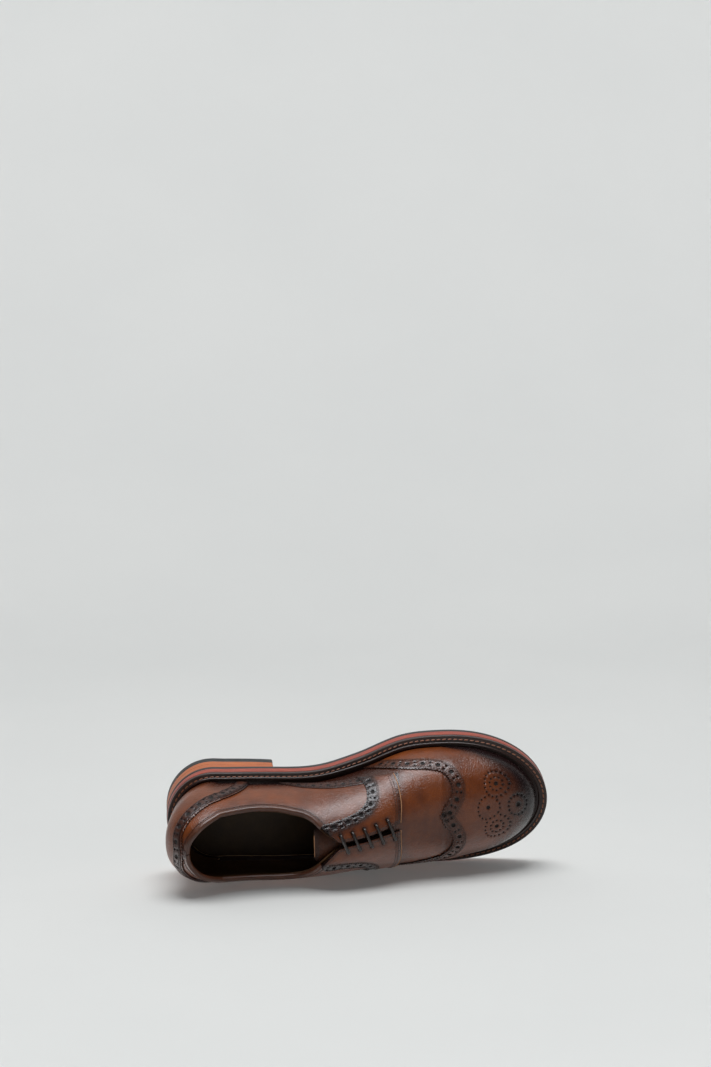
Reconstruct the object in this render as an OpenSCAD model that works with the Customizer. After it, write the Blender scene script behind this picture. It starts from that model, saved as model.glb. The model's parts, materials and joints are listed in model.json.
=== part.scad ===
// Full-brogue derby shoe for the right foot, welted, standing on its sole.
// The toe points to -Y, +X is the inner (medial) side and +Z is up.
// The outside of the upper is one sheet, skin(a, b), in length, side and height:
//   a runs 0..1 up the back of the heel, 1..2 along the foot and 2..3 over the toe,
//   b runs -1 on the outer side over the crest at 0 to +1 on the inner side.
// Every leather piece is a patch of that sheet between two depths below it.

/* [Overall] */
// Length of the upper from heel to toe at the welt
last_length = 292; // [270:1:315]
// Width of the upper across the ball
ball_width = 94.6; // [86:0.2:104]
// Width of the upper across the waist
waist_width = 72; // [66:0.2:80]
// Width of the upper across the heel seat
heel_width = 71; // [64:0.2:78]
// Height of the crest at the top of the lacing, above the ground
instep_height = 92; // [84:0.5:100]
// Height of the toe box, above the feather line
toe_height = 48; // [42:0.5:54]

/* [Bottom] */
// Thickness of the rubber top piece under the heel
top_piece_thick = 7; // [5:0.5:9]
// Thickness of the rubber outsole
outsole_thick = 3.6; // [3:0.1:5]
// Thickness of the leather midsole
midsole_thick = 6.4; // [4:0.1:8]
// Thickness of the welt
welt_thick = 3.5; // [2.5:0.1:4.5]
// Height of the welt above the ground at the back of the heel
heel_rise = 33.5; // [29:0.5:38]
// How far the toe springs up
toe_spring = 10.5; // [6:0.5:14]
// How far the welt stands out past the upper at the ball and toe
welt_reach = 7.6; // [6:0.2:9]
// How far the welt stands out at the heel and waist
heel_reach = 6; // [4.6:0.2:7.5]
// Diameter of the heel nails
nail_d = 2; // [1.5:0.1:2.6]

/* [Upper] */
// Thickness of each upper leather
leather = 1.1; // [0.9:0.05:1.4]
// Thickness of the heel counter and toe puff
stiffener = 0.7; // [0.5:0.05:1]
// Height of the collar above the ground at the back
collar_back = 99; // [92:0.5:103]
// Height of the collar above the ground below the ankle
collar_side = 75; // [70:0.5:80]
// Diameter of the piping round the collar
piping_d = 2.1; // [1.6:0.1:2.8]
// Diameter of the round lace
lace_d = 2.2; // [1.6:0.1:2.6]
// Diameter of the punched eyelets
eyelet_d = 3.2; // [2.8:0.1:4]
// Half width of the slot between the facings
slot_half = 2.4; // [1.5:0.1:4]

/* [Hidden] */

ply_gap = 0.25;            // clearance between leather plies
layer_gap = 0.05;          // clearance between the layers of the bottom
seat_gap = 0.25;           // clearance between the upper and the welt it stands on
sole_thick = welt_thick + midsole_thick + outsole_thick + 2 * layer_gap + seat_gap;
heel_centre = last_length * 0.123;   // length station where the back of the heel fans out
toe_centre = last_length * 0.726;    // length station where the toe fans out
breast = last_length * 0.274;        // length station of the heel breast

// Depths below the outer surface, from overlay leather in to the lining
overlay_top = 0;
quarter_top = overlay_top - leather - ply_gap;
vamp_top = quarter_top - leather - ply_gap;
stiffener_top = vamp_top - leather - ply_gap;
sunk = 0.8 * quarter_top;    // how far the quarters sink towards the lining behind the vamp
foxing_top = overlay_top + 0.75 * quarter_top;
lining_top = stiffener_top - stiffener - ply_gap;
lining_bottom = lining_top - leather;

// ---- Smooth curves through points [x, y]
function seg(p, x, i = 0) = i >= len(p) - 2 || x < p[i + 1][0] ? i : seg(p, x, i + 1);
function slope(p, i) =
    let (j = max(i - 1, 0), k = min(i + 1, len(p) - 1)) (p[k][1] - p[j][1]) / (p[k][0] - p[j][0]);
function through(p, x) =
    let (i = seg(p, x), h = p[i + 1][0] - p[i][0], t = max(0, min(1, (x - p[i][0]) / h)))
    p[i][1] * (1 + 2 * t) * pow(1 - t, 2) + h * slope(p, i) * t * pow(1 - t, 2)
    + p[i + 1][1] * t * t * (3 - 2 * t) + h * slope(p, i + 1) * t * t * (t - 1);
function along(p, k = last_length) = [for (v = p) [v[0] * k, v[1]]];
function steps(lo, hi, n) = [for (i = [0:n]) lo + (hi - lo) * i / n];

// ---- Shape of the last, as curves along the length
ball_half = ball_width / 2;
waist_half = waist_width / 2;
heel_half = heel_width / 2;
ball_top = sole_thick;
bend = along([[0, 0], [0.205, -2.5], [0.394, -6.5], [0.514, -3.5], [0.634, 1.5], [0.788, 3.5], [1, 5]]);
half = along([[0, heel_half], [0.123, heel_half + 0.2], [0.257, waist_half], [0.377, waist_half],
    [0.514, waist_half * 0.7 + ball_half * 0.3], [0.634, ball_half - 1], [0.726, ball_half], [1, ball_half]]);
seat = along([[-0.041, heel_rise + 0.5], [0, heel_rise], [0.123, heel_rise - 0.5], [0.257, heel_rise - 3],
    [0.377, ball_top + (heel_rise - ball_top) * 0.56], [0.514, ball_top + (heel_rise - ball_top) * 0.18],
    [0.65, ball_top], [0.736, ball_top], [0.856, ball_top + toe_spring * 0.286], [1, ball_top + toe_spring],
    [1.041, ball_top + toe_spring * 1.24]]);
crest_end = ball_top + toe_height;
function crest_share(t) = crest_end + (instep_height - crest_end) * t;
crest = along([[0.123, instep_height + 15.5], [0.257, instep_height + 7.5], [0.377, instep_height],
    [0.445, crest_share(0.85)], [0.514, crest_share(0.667)], [0.582, crest_share(0.433)], [0.65, crest_share(0.2)],
    [0.712, crest_end + 0.75], [0.726, crest_end], [0.74, crest_end - 0.7]]);
heel_height = through(crest, heel_centre) - through(seat, heel_centre);
// Distance out from the fan's axis, by the angle up from the toe
heel_fan = [[90, heel_height], [94, heel_height + 1], [110, heel_height - 0.5], [135, heel_height * 0.846],
    [150, heel_height * 0.671], [165, heel_centre + 6], [180, heel_centre]];
toe_len = last_length - toe_centre;
toe_fan = [[0, toe_len], [10, toe_len - 2.5], [20, toe_len - 9], [35, toe_height + 11], [50, toe_height + 4],
    [70, toe_height + 1], [86, toe_height - 0.7], [90, toe_height]];
round_side = [[0, 2.1], [1, 2.3], [1.6, 1.8], [2, 2.1], [3, 2.03]];
round_top = [[0, 2.2], [1, 3], [1.6, 2.5], [2, 2.4], [3, 2.3]];
bulge = [[0, 0.02], [0.5, 0.05], [1.6, 0.05], [2, 0.03], [3, 0]];

// ---- The surface
function base_at(a) = a < 1 ? heel_centre : a > 2 ? toe_centre : heel_centre + (a - 1) * (toe_centre - heel_centre);
function tilt(a) = a < 1 ? 180 - 90 * a : a > 2 ? 90 * (3 - a) : 90;
function rise_at(a) = a < 1 ? through(heel_fan, tilt(a)) : a > 2 ? through(toe_fan, tilt(a))
    : through(crest, base_at(a)) - through(seat, base_at(a));
function shell_at(a, b) =
    let (l0 = base_at(a), al = tilt(a), t = min(abs(b), 1) * 90, u = pow(max(cos(t), 0), 2 / through(round_top, a)),
        w = rise_at(a) * u, l = l0 + w * cos(al),
        s = sign(b) * through(half, l0) * pow(sin(t), 2 / through(round_side, a))
            * (1 + through(bulge, a) * sin(180 * pow(u, 0.8))))
    [l, s + through(bend, l), through(seat, l) * (1 - sin(al)) + through(seat, l0) * sin(al) + w * sin(al)];
function unit(v) = v / norm(v);
// The surface moved along its normal by depth d
function skin(a, b, d) =
    let (e = 0.004, a0 = max(a - e, 0), a1 = min(a + e, 3), b0 = max(b - e, -0.998), b1 = min(b + e, 0.998),
        c = max(-0.994, min(0.994, b)),
        n = unit(cross(shell_at(a1, c) - shell_at(a0, c), shell_at(a, b1) - shell_at(a, b0))))
    shell_at(a, b) + d * n;
// Length, side and height into the object's own axes
function place(p) = [p[1] - side_mid, length_mid - p[0], p[2]];
// Station a of a length, and b of a height, on the straight part
function station(l) = 1 + (l - heel_centre) / (toe_centre - heel_centre);
function b_at_height(a, z) =
    let (u = (z - through(seat, base_at(a))) / (rise_at(a) * sin(tilt(a))))
    u >= 1 ? 0 : acos(pow(max(u, 0), through(round_top, a) / 2)) / 90;

// ---- Outline of the bottom, offset from the feather line, counter-clockwise from the back of the heel
function feather(side) = concat([for (b = steps(0, 0.97, 11)) shell_at(0, side * b)],
    [for (a = steps(1.02, 1.98, 16)) shell_at(a, side)], [for (b = steps(0.97, 0, 11)) shell_at(3, side * b)]);
function feather_loop() = let (m = feather(1), f = feather(-1)) concat(m, [for (i = [len(f) - 2:-1:1]) f[i]]);
loop_points = feather_loop();
reach_curve = along([[0, heel_reach], [0.37, heel_reach], [0.55, welt_reach - 0.3], [0.72, welt_reach], [1, welt_reach]]);
function outline(extra, reach = 1) =
    [for (i = [0:len(loop_points) - 1])
        let (n = len(loop_points), p = loop_points[i], q = loop_points[(i + 1) % n], r = loop_points[(i + n - 1) % n],
            t = unit([q[0] - r[0], q[1] - r[1]]), o = extra + reach * through(reach_curve, p[0]))
        [p[0] - t[1] * o, p[1] + t[0] * o]];
welt_line = outline(0);
heel_line = [for (a = steps(0.1, 0.7, 40)) skin(a, 0, foxing_top)];
length_mid = (min([for (p = concat(welt_line, heel_line)) p[0]]) + max([for (p = welt_line) p[0]])) / 2;
side_mid = (min([for (p = welt_line) p[1]]) + max([for (p = welt_line) p[1]])) / 2;
function flat(pts) = [for (p = pts) [p[1] - side_mid, length_mid - p[0]]];

// ---- Building blocks
// A band across the shoe between two depths below the seat curve
module band(top, bottom, from = -0.04, to = 1.04) {
    lengths = steps(from * last_length, to * last_length, 26);
    points = concat([for (l = lengths) [length_mid - l, through(seat, l) - top]],
        [for (i = [len(lengths) - 1:-1:0]) [length_mid - lengths[i], through(seat, lengths[i]) - bottom]]);
    rotate([90, 0, 90])
        linear_extrude(height = 3 * ball_width, center = true)
            polygon(points);
}
module slab(extra, reach, top, bottom) {
    intersection() {
        linear_extrude(height = 2 * heel_rise)
            polygon(flat(outline(extra, reach)));
        band(top, bottom);
    }
}
// A closed sheet from a grid of [a, b], between two depths
module patch(grid, top, bottom, lift = [[0, 0], [3, 0]]) {
    rows = len(grid);
    cols = len(grid[0]);
    outer = [for (r = grid, g = r) place(skin(g[0], g[1], top + through(lift, g[0])))];
    inner = [for (r = grid, g = r) place(skin(g[0], g[1], bottom + through(lift, g[0])))];
    n = rows * cols;
    quads = concat(
        [for (i = [0:rows - 2], j = [0:cols - 2]) let (k = i * cols + j) [k, k + 1, k + cols + 1, k + cols]],
        [for (i = [0:rows - 2], j = [0:cols - 2]) let (k = n + i * cols + j) [k, k + cols, k + cols + 1, k + 1]],
        [for (i = [0:rows - 2]) let (k = i * cols) [k, k + cols, k + cols + n, k + n]],
        [for (i = [0:rows - 2]) let (k = i * cols + cols - 1) [k, k + n, k + cols + n, k + cols]],
        [for (j = [0:cols - 2]) [j, j + n, j + 1 + n, j + 1]],
        [for (j = [0:cols - 2]) let (k = (rows - 1) * cols + j) [k, k + 1, k + 1 + n, k + n]]);
    triangles = [for (q = quads) each [[q[0], q[1], q[2]], [q[0], q[2], q[3]]]];
    polyhedron(concat(outer, inner), triangles);
}
// A grid where b runs between two curves of a
function grid_a(a0, a1, low, high, rows, cols) =
    [for (a = steps(a0, a1, rows)) [for (b = steps(through(low, a), through(high, a), cols)) [a, b]]];
// A grid where a runs between two curves of |b|
function grid_b(back, front, width, rows, cols) =
    [for (i = [0:rows]) [for (b = steps(-width, width, cols))
        [through(back, abs(b)) + (through(front, abs(b)) - through(back, abs(b))) * i / rows, b]]];
function mirror_grid(g) = [for (r = g) [for (i = [len(r) - 1:-1:0]) [r[i][0], -r[i][1]]]];
// A round tube along points
module tube(points, d, sides = 8) {
    n = len(points);
    rings = [for (i = [0:n - 1])
        let (t = unit(points[min(i + 1, n - 1)] - points[max(i - 1, 0)]), x = unit(cross(t, [0.13, 0.37, 1])), y = cross(t, x))
        for (k = [0:sides - 1]) points[i] + d / 2 * (x * cos(360 * k / sides) + y * sin(360 * k / sides))];
    walls = [for (i = [0:n - 2], k = [0:sides - 1])
        let (p = i * sides + k, q = i * sides + (k + 1) % sides) each [[p, p + sides, q + sides], [p, q + sides, q]]];
    caps = [for (k = [1:sides - 2]) each [[0, k, k + 1], [(n - 1) * sides, (n - 1) * sides + k + 1, (n - 1) * sides + k]]];
    polyhedron(concat(rings, []), concat(walls, caps));
}

// ---- Lines on the upper
edge = 0.996;              // b of the feather line, just inside the ends of the sheet
heel_foot = 0.012;         // a of the feather line at the back of the heel
toe_foot = 2.994;          // a of the feather line at the toe
tab_front = 1.8;           // a of the front edge of the facing's tab
// b of the middle of the slot: it drifts to the inner side in front of the collar
middle = [[1.32, 0], [1.5, 0.075], [1.6, 0.08], [1.9, 0.08]];
slot_turn = slot_half / (1.06 * ball_half);
// a of the collar at the back seam, found by halving
function collar_start(lo = 0.5, hi = 1, n = 12) =
    let (m = (lo + hi) / 2, z = through(seat, heel_centre) + rise_at(m) * sin(tilt(m)))
    n == 0 ? m : z > collar_back ? collar_start(lo, m, n - 1) : collar_start(m, hi, n - 1);
back_a = collar_start();
// Share of the way from the side height up to the back height
collar_share = [[back_a, 1], [back_a + 0.05, 0.95], [0.86, 0.75], [0.93, 0.57], [1, 0.4], [1.12, 0.12], [1.22, 0.005],
    [1.3, 0], [1.37, 0.11], [1.44, 0.42]];
function collar_height(a) = collar_side + (collar_back - collar_side) * through(collar_share, a);
collar_turn = b_at_height(1.41, collar_height(1.41));
throat = [[1.41, collar_turn], [1.45, collar_turn * 0.64], [1.49, collar_turn * 0.3 + slot_turn * 0.3], [1.525, slot_turn],
    [1.9, slot_turn]];
// Half width of the opening, in b
function opening(a) = a <= back_a ? 0.003 : a < 1.41 ? b_at_height(a, collar_height(a)) : through(throat, a);
quarter_low = [[0, edge], [1.28, edge], [1.41, 0.97], [1.5, 0.93], [1.61, 0.85], [1.7, 0.77], [1.8, 0.7]];

// ---- Bottom
module heel_block(bottom, top) {
    intersection() {
        translate([0, 0, bottom])
            linear_extrude(height = top - bottom)
                polygon(flat(outline(-0.5)));
        translate([-ball_width, length_mid - breast, 0])
            cube([2 * ball_width, last_length, heel_rise]);
        band(sole_thick + layer_gap, 2 * heel_rise);
    }
}
lift_thick = (heel_rise - sole_thick - top_piece_thick) / 2;
module nail_places(rise) {
    for (side = [-1, 1], i = [0:2])
        translate([side * (heel_half - 9 - 4 * abs(i - 1)) - side_mid - 1, length_mid - heel_centre + 14 - 16 * i - 2, rise])
            children();
}
nail_length = top_piece_thick + lift_thick;
module nail_holes() {
    nail_places(-1)
        cylinder(h = nail_length + 2, d = nail_d + 0.1, $fn = 24);
}
module heel_top_piece() {
    color("#22211f")
        difference() {
            heel_block(0, top_piece_thick);
            nail_holes();
        }
}
module heel_lift_lower() {
    color("#a85a2c")
        difference() {
            heel_block(top_piece_thick + layer_gap, top_piece_thick + lift_thick);
            nail_holes();
        }
}
module heel_lift_upper() {
    color("#a85a2c")
        difference() {
            heel_block(top_piece_thick + lift_thick + layer_gap, 2 * heel_rise);
            nail_holes();
        }
}
module heel_nails() {
    color("#b08d4a")
        nail_places(0.2)
            cylinder(h = nail_length, d = nail_d, $fn = 24);
}
module outsole() {
    color("#262725")
        slab(0, 1, seat_gap + welt_thick + midsole_thick + 2 * layer_gap, sole_thick);
}
module midsole() {
    color("#9c4a32")
        slab(-0.1, 1, seat_gap + welt_thick + layer_gap, seat_gap + welt_thick + midsole_thick + layer_gap);
}
ring_inset = lining_bottom - 1.4;
ridge_gap = 0.8;           // clearance between the upper and the ridge that stands round it
ridge_width = 1.3;
ridge_height = 1.3;
module welt() {
    color("#2e1a12") {
        difference() {
            slab(-0.3, 1, seat_gap, seat_gap + welt_thick);
            translate([0, 0, -1])
                linear_extrude(height = 3 * heel_rise)
                    polygon(flat(outline(ring_inset, 0)));
        }
        difference() {
            slab(ridge_gap + ridge_width, 0, seat_gap - ridge_height, seat_gap + welt_thick / 2);
            translate([0, 0, -1])
                linear_extrude(height = 3 * heel_rise)
                    polygon(flat(outline(ridge_gap, 0)));
        }
    }
}
stitch_pitch = 6;
stitch_d = 0.9;
// Points a set distance apart along the welt, with their direction
stitch_line = outline(-3.2);
module welt_stitches() {
    n = len(stitch_line);
    color("#b98a5a")
        for (i = [0:n - 1]) {
            p = stitch_line[i];
            q = stitch_line[(i + 1) % n];
            gap = norm(q - p);
            pieces = max(1, round(gap / stitch_pitch));
            for (k = [0:pieces - 1]) {
                m = p + (q - p) * (k + 0.5) / pieces;
                lead = unit(q - p);
                rise = through(seat, m[0] + lead[0]) - through(seat, m[0] - lead[0]);
                translate([m[1] - side_mid, length_mid - m[0], through(seat, m[0]) - seat_gap + stitch_d / 2 + 0.12])
                    rotate([0, 0, atan2(-lead[0], lead[1])])
                        rotate([0, 90 - atan2(rise, 2), 0])
                            cylinder(h = gap / pieces * 0.6, d = stitch_d, center = true, $fn = 16);
            }
        }
}
shank_width = 14;
shank_thick = 1;
shank_span = [0.22, 0.56];
module cork_filler() {
    color("#8a6a48")
        difference() {
            slab(ring_inset - 0.3, 0, seat_gap, seat_gap + welt_thick - 0.1);
            shank_space(0.15);
        }
}
module shank_space(grow) {
    intersection() {
        translate([through(bend, heel_centre * 2) - side_mid - shank_width / 2 - grow, length_mid - last_length * shank_span[1] - grow, 0])
            cube([shank_width + 2 * grow, last_length * (shank_span[1] - shank_span[0]) + 2 * grow, 2 * heel_rise]);
        band(seat_gap + 1 - grow, seat_gap + 1 + shank_thick + grow);
    }
}
module shank() {
    color("silver")
        shank_space(0);
}
insole_thick = 2.4;
module insole() {
    color("#c79d6d")
        slab(lining_bottom - 1, 0, -insole_thick + layer_gap, seat_gap - layer_gap);
}
sock_thick = 1;
module sock_lining() {
    color("#2c1c12")
        slab(lining_bottom - 1.8, 0, -insole_thick - sock_thick, -insole_thick);
}

// ---- Linings and stiffeners
lace_clear = 1.77;          // a of the back edge of the vamp, in front of the first eyelets
module vamp_lining() {
    color("#8b6a45")
        patch(grid_b([[0, lace_clear + 0.005], [0.45, lace_clear + 0.005], [0.52, lace_clear], [0.62, 1.66], [1, 1.64]],
            [[0, toe_foot], [1, toe_foot]], edge, 18, 28), lining_top, lining_bottom);
}
// A quarter from the collar and slot down to its lower edge; trim keeps it back from the opening
function quarter_grid(side, front, cols, low, trim = 0) =
    let (rows = concat(steps(heel_foot, back_a - 0.02, 8), steps(back_a + 0.004, 0.98, 7), steps(1.01, front, 18)))
    [for (a = rows) [for (t = steps(0, 1, cols))
        let (top = opening(a) + trim + side * through(middle, a)) [a, top + (min(edge, through(low, a)) - top) * t]]];
function side_grid(side, front, cols, low, trim = 0) =
    let (g = quarter_grid(side, front, cols, low, trim)) side > 0 ? g : mirror_grid(g);
lining_low = [[0, edge], [1.59, edge], [1.6, edge], [1.63, 0.48], [1.64, 0.48], [1.8, 0.48]];
module medial_quarter_lining() {
    color("#5a3a22")
        eyelet_cut(1)
            patch(side_grid(1, lace_clear - 0.003, 12, lining_low, 0.002), lining_top, lining_bottom);
}
module lateral_quarter_lining() {
    color("#5a3a22")
        eyelet_cut(-1)
            patch(side_grid(-1, lace_clear - 0.003, 12, lining_low, 0.002), lining_top, lining_bottom);
}
module heel_counter() {
    color("#b9a083")
        patch([for (a = steps(heel_foot, 0.55, 7)) [for (b = steps(-edge, edge, 32)) [a, b]]],
            stiffener_top, stiffener_top - stiffener + 0.08);
}
module toe_puff() {
    color("#b9a083")
        patch([for (a = steps(2.44, toe_foot, 7)) [for (b = steps(-edge, edge, 28)) [a, b]]],
            stiffener_top + 0.8, stiffener_top + 0.5 - stiffener);
}

// ---- Outer leathers
module vamp() {
    color("#7a4424")
        patch(grid_b([[0, lace_clear], [0.28, lace_clear], [0.36, lace_clear - 0.005], [0.5, 1.68], [0.8, 1.45], [1, 1.32]],
            [[0, 2.2], [0.2, 2.32], [0.45, 2.4], [0.7, 2.1], [0.85, 1.95], [1, 1.85]], edge, 14, 30),
            vamp_top, vamp_top - leather);
}
// The back edge of the wing cap: a point at the crest, a scallop each side, then wings along the feather line
wing_edge = [[0, 1.99], [0.1, 1.995], [0.23, 2.06], [0.36, 2.12], [0.46, 2.1], [0.57, 2], [0.66, 1.9],
    [0.78, 1.78], [0.9, 1.72], [1, 1.66]];
module wing_cap() {
    color("#6b3a1e")
        patch(grid_b(wing_edge, [[0, toe_foot], [1, toe_foot]], edge, 18, 32), quarter_top, quarter_top - leather + 0.1);
}
// The quarter lies on the vamp in front, and closes in on the lining behind it
sink = [[0, sunk], [1.02, sunk], [1.1, sunk], [1.38, 0], [1.45, 0], [3, 0]];
module medial_quarter() {
    color("#754022")
        eyelet_cut(1)
            patch(side_grid(1, tab_front, 16, quarter_low), quarter_top, quarter_top - leather, sink);
}
module lateral_quarter() {
    color("#754022")
        eyelet_cut(-1)
            patch(side_grid(-1, tab_front, 16, quarter_low), quarter_top, quarter_top - leather, sink);
}
// The facing: a strip beside the slot that widens into a tab down to the quarter's lower edge
facing_low = [[1.45, 0.36], [1.53, 0.42], [1.59, 0.44], [1.63, 0.5], [1.655, 0.83], [1.72, 0.75], [1.8, 0.7]];
facing_back = 1.46;
function facing_grid(side) =
    [for (a = concat(steps(facing_back, 1.605, 6), steps(1.62, 1.668, 8), steps(1.69, tab_front, 4)))
        let (top = opening(a) + 0.002 + side * through(middle, a))
        [for (b = steps(top, max(through(facing_low, a), top + 0.02), 10)) [a, b]]];
module medial_facing() {
    color("#5f3219")
        eyelet_cut(1)
            patch(facing_grid(1), overlay_top, overlay_top - leather + 0.18);
}
module lateral_facing() {
    color("#5f3219")
        eyelet_cut(-1)
            patch(mirror_grid(facing_grid(-1)), overlay_top, overlay_top - leather + 0.18);
}
// The front edge of the heel foxing, from the back seam round and down to the feather line
foxing_edge = [[0, back_a - 0.04], [0.24, back_a - 0.038], [0.38, back_a - 0.03], [0.5, back_a], [0.64, 0.77], [0.74, 0.86],
    [0.8, 1], [0.85, 1.06], [0.92, 1.11], [1, 1.13]];
module heel_foxing() {
    color("#6b3a1e")
        patch(grid_b([[0, heel_foot], [1, heel_foot]], foxing_edge, edge, 14, 32),
            foxing_top, foxing_top - leather);
}
// Piping that lies along the rim of the opening, over the quarters and their linings
pipe_front = 1.5;
pipe_clear = 0.45;         // clearance between the piping and the rim
function rim_b(a, side) = side * opening(a) + through(middle, a);
function rim_depth(a) = (quarter_top + through(sink, a) + lining_bottom) / 2;
rim_line = concat([for (a = steps(pipe_front, back_a + 0.012, 28)) [a, rim_b(a, 1)]], [[back_a, 0]],
    [for (a = steps(back_a + 0.012, pipe_front, 28)) [a, rim_b(a, -1)]]);
module collar_piping() {
    n = len(rim_line);
    points = [for (r = rim_line) skin(r[0], r[1], rim_depth(r[0]))];
    color("#3a2216")
        tube([for (i = [0:n - 1])
            let (t = unit(points[min(i + 1, n - 1)] - points[max(i - 1, 0)]),
                up = unit(skin(rim_line[i][0], rim_line[i][1], 1) - skin(rim_line[i][0], rim_line[i][1], 0)),
                out = unit(cross(up, t)))
            place(points[i] + out * (piping_d / 2 + pipe_clear))], piping_d);
}

// ---- Tongue, hinged where it is sewn in under the vamp
tongue_depth = lining_bottom - lace_d - 0.9;
tongue_base = 1.93;
tongue_tip = 1.42;
tongue_width = [[1.4, 0.26], [1.44, 0.4], [1.6, 0.42], [1.78, 0.4], [1.86, 0.3], [1.93, 0.22]];
tongue_lift = [[1.4, 0], [1.76, 0], [1.8, 0], [1.9, lace_d + 0.2], [1.94, lace_d + 0.3]];
function tongue_grid() =
    [for (a = steps(tongue_tip, tongue_base, 12))
        [for (b = steps(-through(tongue_width, a), through(tongue_width, a), 12)) [a, b + through(middle, a)]]];
module tongue() {
    color("#6b3a1e")
        patch(tongue_grid(), tongue_depth, tongue_depth - leather, tongue_lift);
}
module tongue_lining() {
    color("#8b6a45")
        patch(tongue_grid(), tongue_depth - leather - ply_gap, tongue_depth - 2 * leather - ply_gap, tongue_lift);
}

// ---- Lacing: five straight bars, joined in a snake behind the facings
eyelet_rows = 5;
eyelet_first = 1.755;
eyelet_last = 1.54;
eyelet_turn = (slot_half + 4.8) / (1.06 * ball_half);
function eyelet_a(i) = eyelet_first + (eyelet_last - eyelet_first) * i / (eyelet_rows - 1);
function eyelet_at(i, t, d) = skin(eyelet_a(i), t * eyelet_turn + through(middle, eyelet_a(i)), d);
module eyelet_cut(side) {
    difference() {
        children();
        for (i = [0:eyelet_rows - 1]) {
            top = place(eyelet_at(i, side, 4));
            low = place(eyelet_at(i, side, lining_bottom - 3));
            axis = top - low;
            translate(low)
                rotate([0, acos(axis[2] / norm(axis)), atan2(axis[1], axis[0])])
                    cylinder(h = norm(axis), d = eyelet_d, $fn = 20);
        }
    }
}
lace_over = lace_d / 2 + 0.35;
lace_under = lining_bottom - lace_d / 2 - 0.35;
function bar(i, side) =
    concat([for (d = [lace_under + 0.2, lining_bottom + 1.5, quarter_top]) eyelet_at(i, side, d)],
        [eyelet_at(i, side * 0.97, 0.55)],
        [for (t = [0.86, 0.6, 0.2, -0.2, -0.6, -0.86]) eyelet_at(i, side * t, lace_over + 0.5 * (1 - t * t))],
        [eyelet_at(i, -side * 0.97, 0.55)],
        [for (d = [quarter_top, lining_bottom + 1.5, lace_under + 0.2]) eyelet_at(i, -side, d)]);
function hidden_run(i, side) =
    [for (t = [0.3, 0.7]) let (p = eyelet_at(i, side, lace_under), q = eyelet_at(i + 1, side, lace_under)) p + (q - p) * t];
function lace_route() =
    [for (i = [0:eyelet_rows - 1])
        let (side = i % 2 == 0 ? -1 : 1)
        each concat(bar(i, side), i < eyelet_rows - 1 ? hidden_run(i, -side) : [])];
module lace() {
    color("#1f1511")
        tube([for (p = lace_route()) place(p)], lace_d);
}

heel_top_piece();
heel_lift_lower();
heel_lift_upper();
heel_nails();
outsole();
midsole();
welt();
welt_stitches();
cork_filler();
shank();
insole();
sock_lining();
vamp_lining();
medial_quarter_lining();
lateral_quarter_lining();
heel_counter();
toe_puff();
vamp();
wing_cap();
medial_quarter();
lateral_quarter();
medial_facing();
lateral_facing();
heel_foxing();
collar_piping();
tongue();
tongue_lining();
lace();
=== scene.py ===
import json
import math
import bpy
import numpy as np
from mathutils import Matrix, Vector
from mathutils.geometry import delaunay_2d_cdt
from mathutils.kdtree import KDTree

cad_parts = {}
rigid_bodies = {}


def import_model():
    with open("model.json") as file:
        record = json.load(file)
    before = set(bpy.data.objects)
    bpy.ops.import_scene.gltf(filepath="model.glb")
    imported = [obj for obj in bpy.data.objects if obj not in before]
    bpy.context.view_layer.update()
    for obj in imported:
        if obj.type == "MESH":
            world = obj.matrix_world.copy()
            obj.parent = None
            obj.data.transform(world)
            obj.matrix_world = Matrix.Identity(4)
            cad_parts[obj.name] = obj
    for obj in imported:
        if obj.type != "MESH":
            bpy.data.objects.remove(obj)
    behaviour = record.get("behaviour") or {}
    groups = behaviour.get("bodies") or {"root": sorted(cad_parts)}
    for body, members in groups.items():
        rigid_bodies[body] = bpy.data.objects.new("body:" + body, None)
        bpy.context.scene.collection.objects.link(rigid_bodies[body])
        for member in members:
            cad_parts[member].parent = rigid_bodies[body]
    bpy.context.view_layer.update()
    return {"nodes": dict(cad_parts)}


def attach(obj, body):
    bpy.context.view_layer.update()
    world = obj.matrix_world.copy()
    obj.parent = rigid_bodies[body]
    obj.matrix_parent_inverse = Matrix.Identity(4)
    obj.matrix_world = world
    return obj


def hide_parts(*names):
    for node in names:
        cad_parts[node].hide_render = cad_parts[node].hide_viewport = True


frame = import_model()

scene = bpy.context.scene
for name in ("Cube", "Light", "Camera"):
    if name in bpy.data.objects:
        bpy.data.objects.remove(bpy.data.objects[name])

# ---------------------------------------------------------------- the last's surface, in mm, as in part.scad
L, LH, LC = 292.0, 292 * 0.123, 292 * 0.726
BALL, WAIST, HEEL_HALF = 47.3, 36.0, 35.5
INSTEP, TOE_H, RISE, SPRING = 92.0, 48.0, 33.5, 10.5
WELT_T, MID_T, OUT_T, SEAT_GAP, LAY = 3.5, 6.4, 3.6, 0.25, 0.05
SOLE_T = WELT_T + MID_T + OUT_T + 2 * LAY + SEAT_GAP
TOP_PIECE = 7.0
BREAST = L * 0.274
BACK_H, SIDE_H = 99.0, 75.0
LEATHER, PLY = 1.1, 0.25
QUARTER_TOP = -LEATHER - PLY
VAMP_TOP = QUARTER_TOP - LEATHER - PLY
STIFF_TOP = VAMP_TOP - LEATHER - PLY
LINING_TOP = STIFF_TOP - 0.7 - PLY
LINING_BOTTOM = LINING_TOP - LEATHER
LACE_D, SLOT_HALF = 2.2, 2.4
EDGE, HEEL_FOOT, TOE_FOOT = 0.996, 0.012, 2.994


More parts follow.
